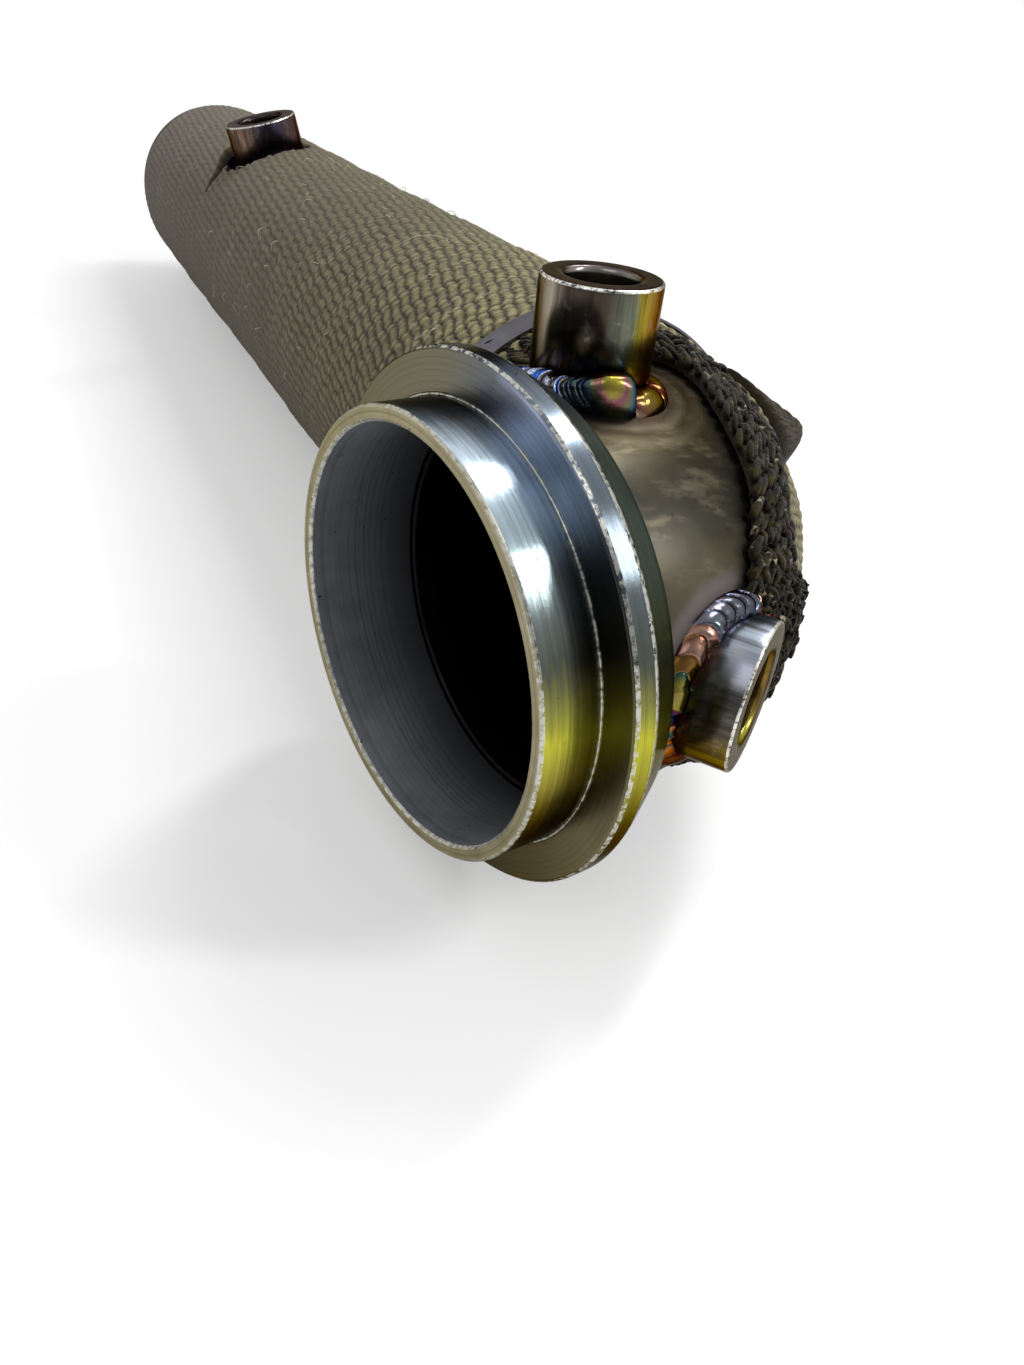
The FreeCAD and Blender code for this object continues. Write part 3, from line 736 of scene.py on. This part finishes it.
def pipe_distance(points):
    """Distance from the pipe's wall, and the direction away from its centre line."""
    from_start = points - pipe_start
    return off_line(points, pipe_start + col(from_start @ pipe_direction) * pipe_direction, pipe_radius)


def on_wall(mouth, axis, radius, turn, distance, reach):
    """Where lines parallel to a boss's axis, `radius` off it, meet the wall."""
    u, v = frame_of(axis)
    start = mouth + radius * (col(np.cos(turn)) * u + col(np.sin(turn)) * v)
    near, far = np.zeros(len(turn)), np.full(len(turn), reach)
    for _ in range(30):
        middle = (near + far) / 2
        outside = distance(start - col(middle) * axis)[0] > 0
        near, far = np.where(outside, middle, near), np.where(outside, far, middle)
    return start - col(near) * axis


def ripples_between(rng, first, last, pitch, share, low, high):
    """Even weld ripples from one angle to another, with tones from `low` to `high`. Each is a disc that laps
    over the one before: (angle, half width in degrees, share of the bead's size, tone from, tone to)."""
    count = max(1, int(round((last - first) / pitch)))
    made = []
    for k in range(count):
        tone = rng.uniform(low, high)
        angle = first + (k + 0.5) * (last - first) / count
        made.append((angle, 0.95 * pitch, share * rng.uniform(0.85, 1.15), tone, tone + 0.10))
    return made


def bead(name, mouth, axis, radius, distance, ripples, material, node, width, height, reach, seed):
    """Stacked discs of weld along the corner between a boss and the wall."""
    rng = np.random.default_rng(seed)
    count, across = 1080, 24
    lean, half_across, sunk = 0.35, 0.66, 0.8
    low_lift, dome_lift, rise_share, toe_share, flatness = 0.62, 0.42, 0.62, 0.45, 0.62
    degrees = np.linspace(0, 360, count, endpoint=False)
    turn = np.radians(degrees)
    foot = on_wall(mouth, axis, radius, turn, distance, reach)
    toe = on_wall(mouth, axis, radius + width, turn, distance, reach)
    normal = distance(foot)[1]
    t = np.linspace(0, 1, across)[None, :]
    size, tone, dome = np.ones((count, across)), np.full((count, across), 0.5), np.zeros((count, across))
    for angle, half, share, tone_from, tone_to in ripples:
        off = np.mod(degrees - angle + 180 + rng.normal(0, 0.5), 360) - 180
        away = (off[:, None] / half - lean * (2 * t - 1) ** 2) ** 2 + ((t - 0.5) / half_across) ** 2
        over = away < 1
        size = np.where(over, share, size)
        tone = np.where(over, tone_from + (tone_to - tone_from) * away, tone)
        dome = np.where(over, np.sqrt(np.clip(1 - away, 0, 1)), dome)
    soft = np.ones(9) / 9
    rounds = [np.concatenate([row[-4:], row, row[:4]]) for row in size.T]
    size = np.stack([np.convolve(row, soft, "valid") for row in rounds], axis=1)
    belly = np.sin(np.pi * t) ** 0.7
    lift = height * belly * size * (low_lift + dome_lift * dome)
    top = foot + axis * height * 0.85 * size[:, :1]
    ridge = top[:, None, :] * (1 - t)[..., None] + toe[:, None, :] * t[..., None]
    both = (normal + axis) / col(np.linalg.norm(normal + axis, axis=1))
    away = (toe - foot) / col(np.linalg.norm(toe - foot, axis=1))
    push = both[:, None, :] * rise_share + away[:, None, :] * toe_share
    points = ridge + push * (lift - height * 0.15)[..., None] * flatness
    inner_row = (foot - axis * sunk)[:, None, :] - 0.6 * away[:, None, :]
    points = np.concatenate([points, (toe - normal * sunk)[:, None, :], inner_row], axis=1)
    tone = np.concatenate([tone, tone[:, -1:], tone[:, :1]], axis=1)
    made = make_mesh(name, points, grid_quads(count, across + 2, True, True), material, tone=tone)
    finish_piece(made, "weld_bead", node)


ripple_rng = np.random.default_rng(3)
tall_ripples = ripples_between(ripple_rng, 300, 520, 13, 0.8, 0.75, 0.9)
tall_ripples += ripples_between(ripple_rng, 150, 214, 8.5, 1.75, 0.0, 0.2)
tall_ripples += [(221, 13, 1.9, 0.20, 0.06), (285, 19, 1.15, 0.80, 0.96)]
tall_ripples += [(227 + 4.5 * k, 17 + 0.8 * k, 1.8 + 0.12 * k, 0.35 + 0.015 * k, 0.66) for k in range(5)]
bead("tall_boss_bead", tall_mouth, tall_axis, tall_radius, elbow_distance, tall_ripples, tall_bead_metal,
     "tall_boss_weld", width=4.2, height=3.2, reach=40.0, seed=3)
side_ripples = ripples_between(ripple_rng, 30, 250, 13, 0.9, 0.3, 0.5)
side_ripples += ripples_between(ripple_rng, -2, 34, 9, 0.9, 0.8, 0.92)
side_ripples += ripples_between(ripple_rng, 250, 300, 11, 1.5, 0.02, 0.18)
side_ripples += [(304, 9, 1.1, 0.30, 0.40), (314, 11, 1.2, 0.32, 0.45), (325, 9, 1.0, 0.44, 0.54),
                 (342, 15, 1.2, 0.60, 0.74), (357, 7, 0.9, 0.74, 0.80)]
bead("side_boss_bead", side_mouth, side_axis, wide_radius, elbow_distance, side_ripples, side_bead_metal,
     "side_boss_weld", width=3.4, height=2.4, reach=30.0, seed=5)
rear_ripples = ripples_between(ripple_rng, 0, 360, 11, 1.0, 0.1, 0.8)
bead("rear_boss_bead", rear_mouth, rear_axis, wide_radius, pipe_distance, rear_ripples, blued_bead_metal,
     "rear_boss_weld", width=3.4, height=2.4, reach=30.0, seed=7)


def flange_bead():
    """Low bead between the flange's back and the elbow, a little uneven."""
    rng = np.random.default_rng(11)
    count, across, ripples, width, sunk = 1200, 14, 110, 4.0, 0.4
    turn = np.linspace(0, 2 * np.pi, count, endpoint=False)
    around = col(np.cos(turn)) * np.array([1.0, 0, 0]) + col(np.sin(turn)) * np.array([0, 0, 1.0])
    wander = sum(rng.normal(0, 0.06) * np.cos(k * turn + rng.uniform(0, 6.28)) for k in range(3, 40))
    phase = ripples * turn / (2 * np.pi) + wander * 2
    t = np.linspace(0, 1, across)
    part = np.mod(phase[:, None] - 0.7 * (2 * t[None, :] - 1) ** 2, 1.0)
    along = flange_depth + width * t[None, :] * (1 + 0.05 * wander[:, None])
    rise = width * (1 - t[None, :]) ** 1.25 * (1 + 0.12 * wander[:, None])
    radius = elbow_radius + rise + 0.16 * np.sin(np.pi * t) * part
    points = along[..., None] * flow + radius[..., None] * around[:, None, :]
    tail = along[:, -1:, None] * flow + (elbow_radius - sunk) * around[:, None, :]
    head = along[:, :1, None] * flow + (elbow_radius - sunk) * around[:, None, :]
    points = np.concatenate([points, tail, head], axis=1)
    tone = np.concatenate([part, part[:, -1:], part[:, :1]], axis=1)
    quads = grid_quads(count, across + 2, True, True)
    made = make_mesh("flange_bead", points, quads, grey_bead_metal, tone=tone)
    finish_piece(made, "weld_bead", "inlet_flange_weld")


flange_bead()


def wrap_cloth(name, shade=1.0):
    """Knitted basalt tape: olive-beige cords with painted shade in the gaps between them, small stitches
    along each cord, painted shade towards the bottom, and all of it darker as painted shade when `shade` is
    below 1.
    """
    n = Material(name)
    where = n.place()
    lift, along, stitch = n.attribute("lift"), n.attribute("along"), n.attribute("stitch")
    cloud = n.noise(where, 20.0, 4.0, 0.6)
    patch = n.noise(where, 80.0, 4.0, 0.6)
    grain = n.noise(where, 1500.0, 4.0, 0.75)
    fuzz = n.noise(where, 420.0, 4.0, 0.7, 1.2)

    def shaded(*colour):
        return [shade * part for part in colour]

    light = n.ramp(along, [
        (0.0, *shaded(166, 158, 112)), (0.12, *shaded(140, 131, 90)), (0.35, *shaded(112, 102, 72)),
        (0.75, *shaded(106, 96, 72)), (1.0, *shaded(114, 105, 92))])
    light = n.mix(n.span(cloud, 0.42, 0.72, 0.0, 0.55), light, srgb(*shaded(100, 88, 58)))
    light = n.mix(n.span(patch, 0.55, 0.8, 0.0, 0.4), light, srgb(*shaded(182, 176, 144)))
    # Painted shade in the gaps between cords.
    painted_gap_shade = n.ramp(along, [(0.0, 40, 34, 18), (0.3, 52, 44, 26), (1.0, 70, 62, 48)])
    threads = n.times(n.add(n.math("SINE", stitch), 1.0), 0.5)
    rough = n.add(n.around(grain, 0.7), n.around(fuzz, 0.9))
    tops = n.add(n.times(lift, n.add(n.times(threads, 0.25), 0.75)), rough)
    base = n.mix(n.span(tops, 0.2, 1.0), painted_gap_shade, light)
    # Painted shade: darker and browner towards the bottom.
    height = n.add(n.split(where)[2], n.around(cloud, 0.03))
    base = n.mix(n.span(height, -0.034, 0.034, 0.78, 0.0), base, srgb(*shaded(54, 44, 14)))
    n.set(Base_Color=base, Roughness=0.85, Sheen_Weight=0.15, Sheen_Roughness=0.5, Specular_IOR_Level=0.3)
    n.set(Normal=n.bump(fuzz, 0.6, 0.0007, n.bump(grain, 0.8, 0.0004)))
    return n.material


def cord_cloth(name, stops, glint):
    """Yarn darker where its loops dip and paler on their crests, as painted shade and light, with pale
    painted glints in patches as strong as `glint`.
    """
    n = Material(name)
    where = n.place()
    grain = n.noise(where, 1500.0, 4.0, 0.7)
    patch = n.noise(where, 420.0, 3.0, 0.6)
    tops = n.add(n.times(n.attribute("lift"), 0.55), n.times(grain, 0.5))
    # Painted shade where loops dip, painted light on crests, and painted glints in patches.
    base = n.mix(n.span(patch, 0.63, 0.72, 0.0, glint), n.ramp(tops, stops), srgb(172, 164, 138))
    n.set(Base_Color=base, Roughness=0.75, Sheen_Weight=0.1, Sheen_Roughness=0.4, Specular_IOR_Level=0.4)
    n.set(Normal=n.bump(grain, 0.8, 0.0004))
    return n.material


cloth = wrap_cloth("heat_wrap_cloth")
# The tail flap's cloth is the wrap's at half brightness: painted shade.
tail_painted_shade_cloth = wrap_cloth("heat_wrap_tail_painted_shade_cloth", 0.5)
# Selvedge: near black where its loops dip, as painted shade, with strong painted glints.
selvedge_cloth = cord_cloth("selvedge_cloth", [(0.3, 9, 7, 3), (0.6, 31, 26, 12), (0.85, 68, 60, 34)], 0.75)
fibre_cloth = cord_cloth("fibre_cloth", [
    (0.3, 120, 114, 90), (0.6, 158, 152, 128), (0.85, 196, 190, 168)], 0.3)

# The tape: cords round the pipe, advance in a turn, waves across it and stitches along a cord, in mm
ribs = 87
tape_advance = 47.8
wave_length = tape_advance / 5
stitch_length = 2.4


def smooth(value, low, high):
    """0 below `low`, 1 above `high`, and an even S between."""
    t = np.clip((value - low) / (high - low), 0, 1)
    return t * t * (3 - 2 * t)


def rib_field(place, roll):
    """Height of a cord, 0 to 1, the distance across the tape and the cord's number, at a place and roll."""
    turns = roll / 360.0
    across = place - tape_advance * turns
    slow = 0.5 * np.sin(2 * np.pi * across / (wave_length * 3.1) + turns * 12.566)
    wave = np.sin(2 * np.pi * across / wave_length) + slow
    lean = 0.12 * place + 36.0 * (1 - np.exp(-np.maximum(place, -70.0) / 75.0))
    phase = ribs * (roll + lean) / 360.0 + 0.11 * wave
    cord = np.floor(phase)
    f = np.mod(phase, 1.0) * 2 - 1
    loop = np.sin(across * 2 * np.pi / 3.3 + cord * 2.4) + 0.6 * np.sin(across * 2 * np.pi / 7.9 + cord * 4.1)
    return np.sqrt(np.clip(1 - f * f, 0, 1)) * (0.80 + 0.12 * loop), across, phase


def wrap_body():
    """The wound sleeve: shingled turns, a hole and a slit at the rear boss, and a single-layer end."""
    rng = np.random.default_rng(21)
    near_part, end_part = 150, wrap_length - 3
    lap, hole_radius = 0.65, 18.9
    place = np.concatenate([np.arange(0, near_part, 0.7), np.arange(near_part, end_part, 1.5),
                            np.linspace(end_part, sleeve_length, 34)])
    rows, columns = len(place), ribs * 6
    place = place[:, None]
    roll = np.linspace(0, 360, columns, endpoint=False)[None, :]
    lift, across, phase = rib_field(place, roll)
    tape = np.mod(across + 20.0, tape_advance) / tape_advance
    shingle = lap * smooth(tape, 0.02, 0.98) - lap * smooth(tape, 0.985, 1.0)
    sag = sum(rng.normal(0, 0.10) * np.cos(np.radians(roll) * a + place * b + rng.uniform(0, 6.28))
              for a, b in ((1, 0.02), (2, 0.035), (3, 0.06), (2, 0.11), (5, 0.09), (7, 0.15)))
    coarse = 0.6 + 0.4 * (1 - smooth(place, 20, 160))
    layer = 1 - smooth(place, wrap_length - 2.5, wrap_length + 0.3)
    radius = (wrap_waist - 0.5 + shingle + sag) * layer + (wrap_end_radius - 0.6 + 0.3 * sag) * (1 - layer)
    radius = radius + 0.85 * coarse * lift * (0.35 + 0.65 * layer)
    half_tie = tie_width * 0.5
    for centre, waist in ((near_tie, wrap_waist), (far_tie, wrap_end_radius)):
        pinch = 1 - smooth(np.abs(place - centre), half_tie + 0.2, half_tie + 2.2)
        radius = radius * (1 - pinch) + (waist - 0.3 + 0.25 * lift) * pinch
    near_round, far_round = np.clip((3 - place) / 3, 0, 1), np.clip((place - sleeve_length + 1.5) / 1.5, 0, 1)
    radius = radius - 1.0 * near_round ** 2 - 0.8 * far_round ** 2
    arc = radius * np.radians(np.mod(roll - rear_roll + 180, 360) - 180)
    spin = np.arctan2(arc, place - rear_place)
    ragged = 0.6 * np.sin(spin * 9) + 0.4 * np.sin(spin * 23)
    hole = np.hypot(place - rear_place, arc) < hole_radius + ragged
    slit_middle = np.interp(roll, (5, 32, 45, 58), (291, 289, 278, 275.5))
    slit_half = np.interp(roll, (4, 5, 32, 45, 58), (0, 7.5, 7.5, 3.5, 0))
    hole |= np.abs(place - slit_middle) < slit_half
    points = on_pipe(place + 0 * roll, radius, roll + 0 * place)
    inside = on_pipe(place + 0 * roll, wrap_inner + 0 * radius, roll + 0 * place)
    quads = grid_quads(rows, columns, False, True)
    outer_quads = quads[(~hole).ravel()[quads].all(axis=1)]
    total = rows * columns
    pairs = np.concatenate([outer_quads[:, [k, (k + 1) % 4]] for k in range(4)])
    key = np.sort(pairs, axis=1).astype(np.int64)
    _, first, counts = np.unique(key[:, 0] * total + key[:, 1], return_index=True, return_counts=True)
    rim = pairs[first[counts == 1]]
    walls = np.stack([rim[:, 1], rim[:, 0], rim[:, 0] + total, rim[:, 1] + total], axis=1)
    faces = np.concatenate([outer_quads, walls, outer_quads[:, ::-1] + total])
    used, numbered = np.unique(faces, return_inverse=True)
    stitch = across * 2 * np.pi / stitch_length + np.floor(phase) * 2.4
    along = np.broadcast_to(place / wrap_length, lift.shape)
    layers = {"lift": np.concatenate([lift.ravel(), 0.15 * lift.ravel()])[used],
              "along": np.tile(along.ravel(), 2)[used],
              "stitch": np.tile(stitch.ravel(), 2)[used]}
    all_points = np.concatenate([points.reshape(-1, 3), inside.reshape(-1, 3)])[used]
    made = make_mesh("wrap_body", all_points, numbered.reshape(-1, 4), cloth, **layers)
    finish_piece(made, "heat_wrap", "wrap_sleeve")


wrap_body()

# Where the wrap starts on the elbow: the bend angle for each roll
edge_roll = np.array([
    -70.0, -30.0, 0.0, 5.9, 12.3, 18.2, 23.5, 30.8, 38.7, 45.2, 52.9,
    59.6, 66.2, 70.8, 85.0, 100.0, 120.0, 150.0, 180.0, 230.0, 270.0, 290.0])
edge_angle = np.array([
    70.0, 66.0, 59.5, 56.3, 53.2, 46.9, 39.1, 33.0, 28.8, 25.8, 21.6,
    18.6, 16.4, 15.6, 26.0, 26.0, 18.0, 24.0, 32.0, 44.0, 62.0, 70.0])


def cuff_edge(roll):
    """Bend angle at which the wrap starts, for any roll."""
    first_roll = edge_roll[0]
    return np.interp(np.mod(roll - first_roll, 360.0) + first_roll, edge_roll, edge_angle)


def cuff_top(roll):
    """Radius of the cuff without its cords: thin where it is drawn tight over the outside of the bend."""
    r = np.mod(roll, 360.0)
    return wrap_inner + 1.75 - 1.15 * smooth(r, 42, 58) * (1 - smooth(r, 100, 125))


def wrap_cuff():
    """The wound cloth on the elbow, from its cut edge to the pipe."""
    rows, columns = 84, ribs * 8
    roll = np.linspace(0, 360, columns, endpoint=False)
    t = np.linspace(0, 1, rows)[:, None]
    first = cuff_edge(roll)[None, :]
    angle = first + (bend_angle - first) * t
    ahead = np.radians(bend_angle - angle) * (bend_radius + 30 * np.sin(np.radians(roll)))
    lift, across, _ = rib_field(-ahead, -roll[None, :])
    radius = cuff_top(roll)[None, :] + 0.7 * lift + 0.15 * np.sin(np.radians(roll) * 5 + ahead * 0.2)
    radius = radius - 0.7 * np.clip(1 - t / 0.05, 0, 1) ** 2
    points = on_bend(angle) + col(radius) * off_bend(angle, roll[None, :] + 0 * t)
    inside = on_bend(angle) + (wrap_inner - 0.2) * off_bend(angle, roll[None, :] + 0 * t)
    stitch = np.concatenate([across, across[::-1]]) * 2 * np.pi / stitch_length
    points, quads = np.concatenate([points, inside[::-1]]), grid_quads(2 * rows, columns, True, True)
    lift, along = np.concatenate([lift, 0 * lift]), np.zeros((2 * rows, columns))
    made = make_mesh("wrap_cuff_cloth", points, quads, cloth, lift=lift, along=along, stitch=stitch)
    finish_piece(made, "heat_wrap", "wrap_cuff")


wrap_cuff()


def tubes(name, paths, radii, material, sides, lifts):
    """Many soft strands as one piece, each closed at both ends: a row of points, radii and lifts for each."""
    points, quads, lift_values = [], [], []
    start = 0
    tip_length, tip_radius = 0.3, 0.02
    turn = np.linspace(0, 2 * np.pi, sides, endpoint=False)
    cap = np.array([[0, k, k + 1, k + 2] for k in range(1, sides - 2, 2)])
    for path, radius, lift in zip(paths, radii, lifts):
        ahead = np.gradient(path, axis=0)
        ahead /= col(np.linalg.norm(ahead, axis=1))
        first_tip = path[:1] - tip_length * radius[0] * ahead[:1]
        last_tip = path[-1:] + tip_length * radius[-1] * ahead[-1:]
        path = np.concatenate([first_tip, path, last_tip])
        radius = np.concatenate([[tip_radius], radius, [tip_radius]])
        ahead = np.concatenate([ahead[:1], ahead, ahead[-1:]])
        u = np.cross(ahead, (0.31, 0.22, 0.92))
        u /= col(np.linalg.norm(u, axis=1))
        ring = col(np.cos(turn)) * u[:, None, :] + col(np.sin(turn)) * np.cross(ahead, u)[:, None, :]
        points.append((path[:, None, :] + ring * radius[:, None, None]).reshape(-1, 3))
        quads.append(grid_quads(len(path), sides, False, True, start))
        quads += [start + first + cap for first in (0, (len(path) - 1) * sides)]
        lift_values.append(np.repeat(np.concatenate([lift[:1], lift, lift[-1:]]), sides))
        start += len(path) * sides
    made = make_mesh(name, np.concatenate(points), np.concatenate(quads), material,
                     lift=np.concatenate(lift_values))
    finish_piece(made, "heat_wrap")


def stray_fibres():
    """Pale broken fibres that stand off the wrap: (place, roll, length, lean) each."""
    rng = np.random.default_rng(17)
    strays = [(80.0, 8.0, 15.0, 62.0), (83.0, 12.0, 9.0, 74.0)]
    strays += [(rng.uniform(14, 260), rng.uniform(-60, 100), rng.uniform(2.0, 4.5), rng.uniform(0, 180))
               for _ in range(60)]
    s = np.linspace(0, 1, 8)
    paths = []
    for place, roll, long, lean in strays:
        run, arc = long * s * math.cos(math.radians(lean)), long * s * math.sin(math.radians(lean))
        height = wrap_waist + 0.15 + min(1.6, 0.3 * long) * np.sin(np.pi * s) + 0.25 * s
        paths.append(on_pipe(place + run, height, roll + np.degrees(arc / wrap_waist)))
    radii, lifts = [0.13 - 0.07 * s] * len(paths), [0.9 + 0 * s] * len(paths)
    tubes("stray_fibres", paths, radii, fibre_cloth, 6, lifts)


stray_fibres()


def selvedge():
    """The tape's thick knitted edge: rows of interlooped yarn along the cut."""
    rng = np.random.default_rng(31)
    knit_rows, pitch, fat, stand = 13, 1.9, 0.6, 41.0
    fine_roll = np.linspace(-44, 200, 4000)
    padded = np.pad(cuff_edge(fine_roll), 60, mode="edge")
    angle = np.convolve(padded, np.ones(121) / 121, mode="valid")
    curve = on_bend(angle) + stand * off_bend(angle, fine_roll)
    length = np.concatenate([[0], np.cumsum(np.linalg.norm(np.diff(curve, axis=0), axis=1))])
    s = np.linspace(0, 1, 9)
    arch = np.sin(np.pi * s)
    paths, radii, lifts = [], [], []
    for row in range(knit_rows):
        ahead, rise = 1.4 * row - 0.8, 0.9 * math.sin(math.pi * (row + 0.6) / (knit_rows + 0.5))
        for k in range(int(length[-1] / pitch)):
            at = (k + 0.35 * (row % 2) + s * 1.75 - 0.3 + rng.normal(0, 0.12)) * pitch
            swing = arch * (1.25 if k % 2 else -1.25) * rng.uniform(0.5, 1.4)
            r = np.interp(at, length, fine_roll)
            a = np.interp(at, length, angle)
            bend_here = bend_radius + 38 * np.sin(np.radians(r))
            here = a + np.degrees((ahead + swing + rng.normal(0, 0.45)) / bend_here)
            weave = 0.6 * np.cos(np.pi * s + (k % 2) * np.pi)
            height = cuff_top(r) + 0.3 + rise + weave + rng.normal(0, 0.35)
            paths.append(on_bend(here) + col(height) * off_bend(here, r))
            radii.append(fat * (0.75 + 0.35 * arch) * rng.uniform(0.7, 1.25))
            lifts.append(np.clip(arch * rng.uniform(0.4, 1.1), 0, 1))
    tubes("selvedge_knit", paths, radii, selvedge_cloth, 8, lifts)


selvedge()


def tail_flap():
    """Folded end of the tape, which stands off the outside of the bend."""
    near_top = on_bend(62.0) + 41.2 * off_bend(62.0, 29.0)
    corner = np.array([4.4, 77.4, 28.8])
    near_low = on_bend(31.5) + 41.5 * off_bend(31.5, 46.0)
    base_mid = on_bend(49.0) + 41.5 * off_bend(49.0, 47.0)
    rows, columns = 72, 60
    s = np.linspace(0, 1, rows)[:, None, None]
    t = np.linspace(0, 1, columns)[None, :, None]
    root = near_top * (1 - s) + near_low * s + 4 * s * (1 - s) * (base_mid - (near_top + near_low) / 2)
    tip = near_top * (1 - s) ** 2 + corner * 2 * s * (1 - s) + near_low * s ** 2
    tip = tip + (corner - (near_top + 2 * corner + near_low) / 4) * (1 - np.abs(2 * s - 1) ** 1.2) * 0.9
    surface = root * (1 - t) + tip * t
    normal = np.cross(near_low - near_top, corner - near_top)
    normal /= np.linalg.norm(normal)
    surface = surface + normal * 0.5 * np.sin(7 * s + 4 * t) * t
    round_t, round_s = np.clip(1 - (2 * t - 1) ** 4, 0, 1), np.clip(1 - (2 * s - 1) ** 6, 0, 1)
    thick = 1.3 * np.sqrt(round_t) * np.sqrt(round_s) + 0.05
    rib = np.sqrt(np.clip(1 - (np.mod(s * 12 + 0.15 * np.sin(t * 20), 1) * 2 - 1) ** 2, 0, 1))
    half = normal * (thick + 0.45 * rib)
    top, under = surface + half, surface - half
    lift = rib[..., 0] + 0 * t[..., 0]
    lift = np.concatenate([lift, lift[:, ::-1]], axis=1)
    stitch = np.broadcast_to(np.concatenate([t[..., 0], t[..., 0][:, ::-1]], axis=1) * 60, lift.shape)
    quads = [grid_quads(rows, 2 * columns, False, True)]
    pair = np.arange(columns - 1)
    quads += [start + np.stack([pair, pair + 1, 2 * columns - 2 - pair, 2 * columns - 1 - pair], axis=1)
              for start in (0, (rows - 1) * 2 * columns)]
    points, along = np.concatenate([top, under[:, ::-1]], axis=1), np.full(lift.shape, 0.5)
    quads = np.concatenate(quads)
    made = make_mesh("tape_tail", points, quads, tail_painted_shade_cloth, lift=lift, along=along, stitch=stitch)
    finish_piece(made, "heat_wrap", "wrap_tail")


tail_flap()

for name, place, waist in (("near_tie", near_tie, wrap_waist), ("far_tie", far_tie, wrap_end_radius)):
    under_band, half = waist + tie_gap, tie_width / 2
    over_band = under_band + tie_thickness
    outline = eased([(-half, under_band), (-half, over_band), (half, over_band), (half, under_band)], 0.12)
    band = lathe(name + "_band", outline, on_pipe(place), pipe_direction, tie_metal, 256)
    finish_piece(band, "tie_steel", name + "_strap")

# CAD pieces that stay, with a better material
for name, material in (("straight_pipe", blued_pipe), ("pipe_weld", grey_bead_metal),
                       ("near_tie_buckle", tie_metal), ("near_tie_ball", tie_metal),
                       ("far_tie_buckle", tie_metal), ("far_tie_ball", tie_metal)):
    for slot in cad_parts[name].material_slots:
        slot.material = material

# Floor: seen white in the distance, with the object's shadow near it
floor_level, floor_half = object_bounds()[0][2], 30.0
floor_corners = [(x, y, floor_level) for x, y in ((-floor_half, -floor_half), (floor_half, -floor_half),
                                                  (floor_half, floor_half), (-floor_half, floor_half))]
floor_mesh = bpy.data.meshes.new("floor")
floor_mesh.from_pydata(floor_corners, [], [(0, 1, 2, 3)])
floor = bpy.data.objects.new("floor", floor_mesh)
bpy.context.scene.collection.objects.link(floor)
floor_look = Material("floor")
floor_look.set(Base_Color=(0.93, 0.93, 0.93, 1.0), Roughness=0.9, Specular_IOR_Level=0.1)
from_object = floor_look.away(floor_look.place(), (-0.15, 0.06, floor_level))
far_white = floor_look.times(floor_look.seen(), floor_look.span(from_object, 0.15, 0.75, 0.35, 1.0))
blend = floor_look.node("ShaderNodeMixShader")
white = floor_look.node("ShaderNodeEmission").outputs[0]
for value, socket in zip((far_white, floor_look.shader.outputs[0], white), blend.inputs):
    floor_look.put(value, socket)
floor_look.put(blend.outputs[0], floor_look.tree.nodes["Material Output"].inputs["Surface"])
floor_mesh.materials.append(floor_look.material)

# World: white, and darker towards one side, a little brighter where it is seen than where it lights
dark_side = (0.62, -0.76, 0.18)
world = bpy.data.worlds.new("studio")
bpy.context.scene.world = world
sky = Nodes(world)
background = sky.tree.nodes["Background"]
shade = sky.node("ShaderNodeValToRGB")
light_end, dark_end = shade.color_ramp.elements
light_end.position, light_end.color = 0.05, (1.0, 1.0, 1.0, 1.0)
dark_end.position, dark_end.color = 0.8, (0.40, 0.40, 0.41, 1.0)
sky.put(sky.dot(sky.node("ShaderNodeTexCoord").outputs["Generated"], dark_side), shade.inputs[0])
sky.put(shade.outputs[0], background.inputs["Color"])
sky.put(sky.math("MULTIPLY_ADD", sky.seen(), 0.2, 0.8), background.inputs["Strength"])


def lamp(name, direction, distance, width, height, power, target=(0.0, 0.02, 0.02)):
    """Soft box that faces a point from a direction."""
    data = bpy.data.lights.new(name, "AREA")
    data.shape = "RECTANGLE"
    data.size, data.size_y = width, height
    data.energy = power
    made = bpy.data.objects.new(name, data)
    away = Vector(direction).normalized()
    made.location = Vector(target) + away * distance
    made.rotation_euler = away.to_track_quat("Z", "Y").to_euler()
    bpy.context.scene.collection.objects.link(made)


lamp("bar_left", (-0.19, 0.54, 0.82), distance=1.3, width=0.16, height=0.6, power=9.0)
lamp("bar_right", (0.53, 0.59, 0.61), distance=1.3, width=0.14, height=0.5, power=7.0)
lamp("key", (0.25, -0.55, 0.80), distance=1.4, width=0.8, height=0.8, power=3.2)

bpy.context.scene.view_settings.view_transform = "Standard"
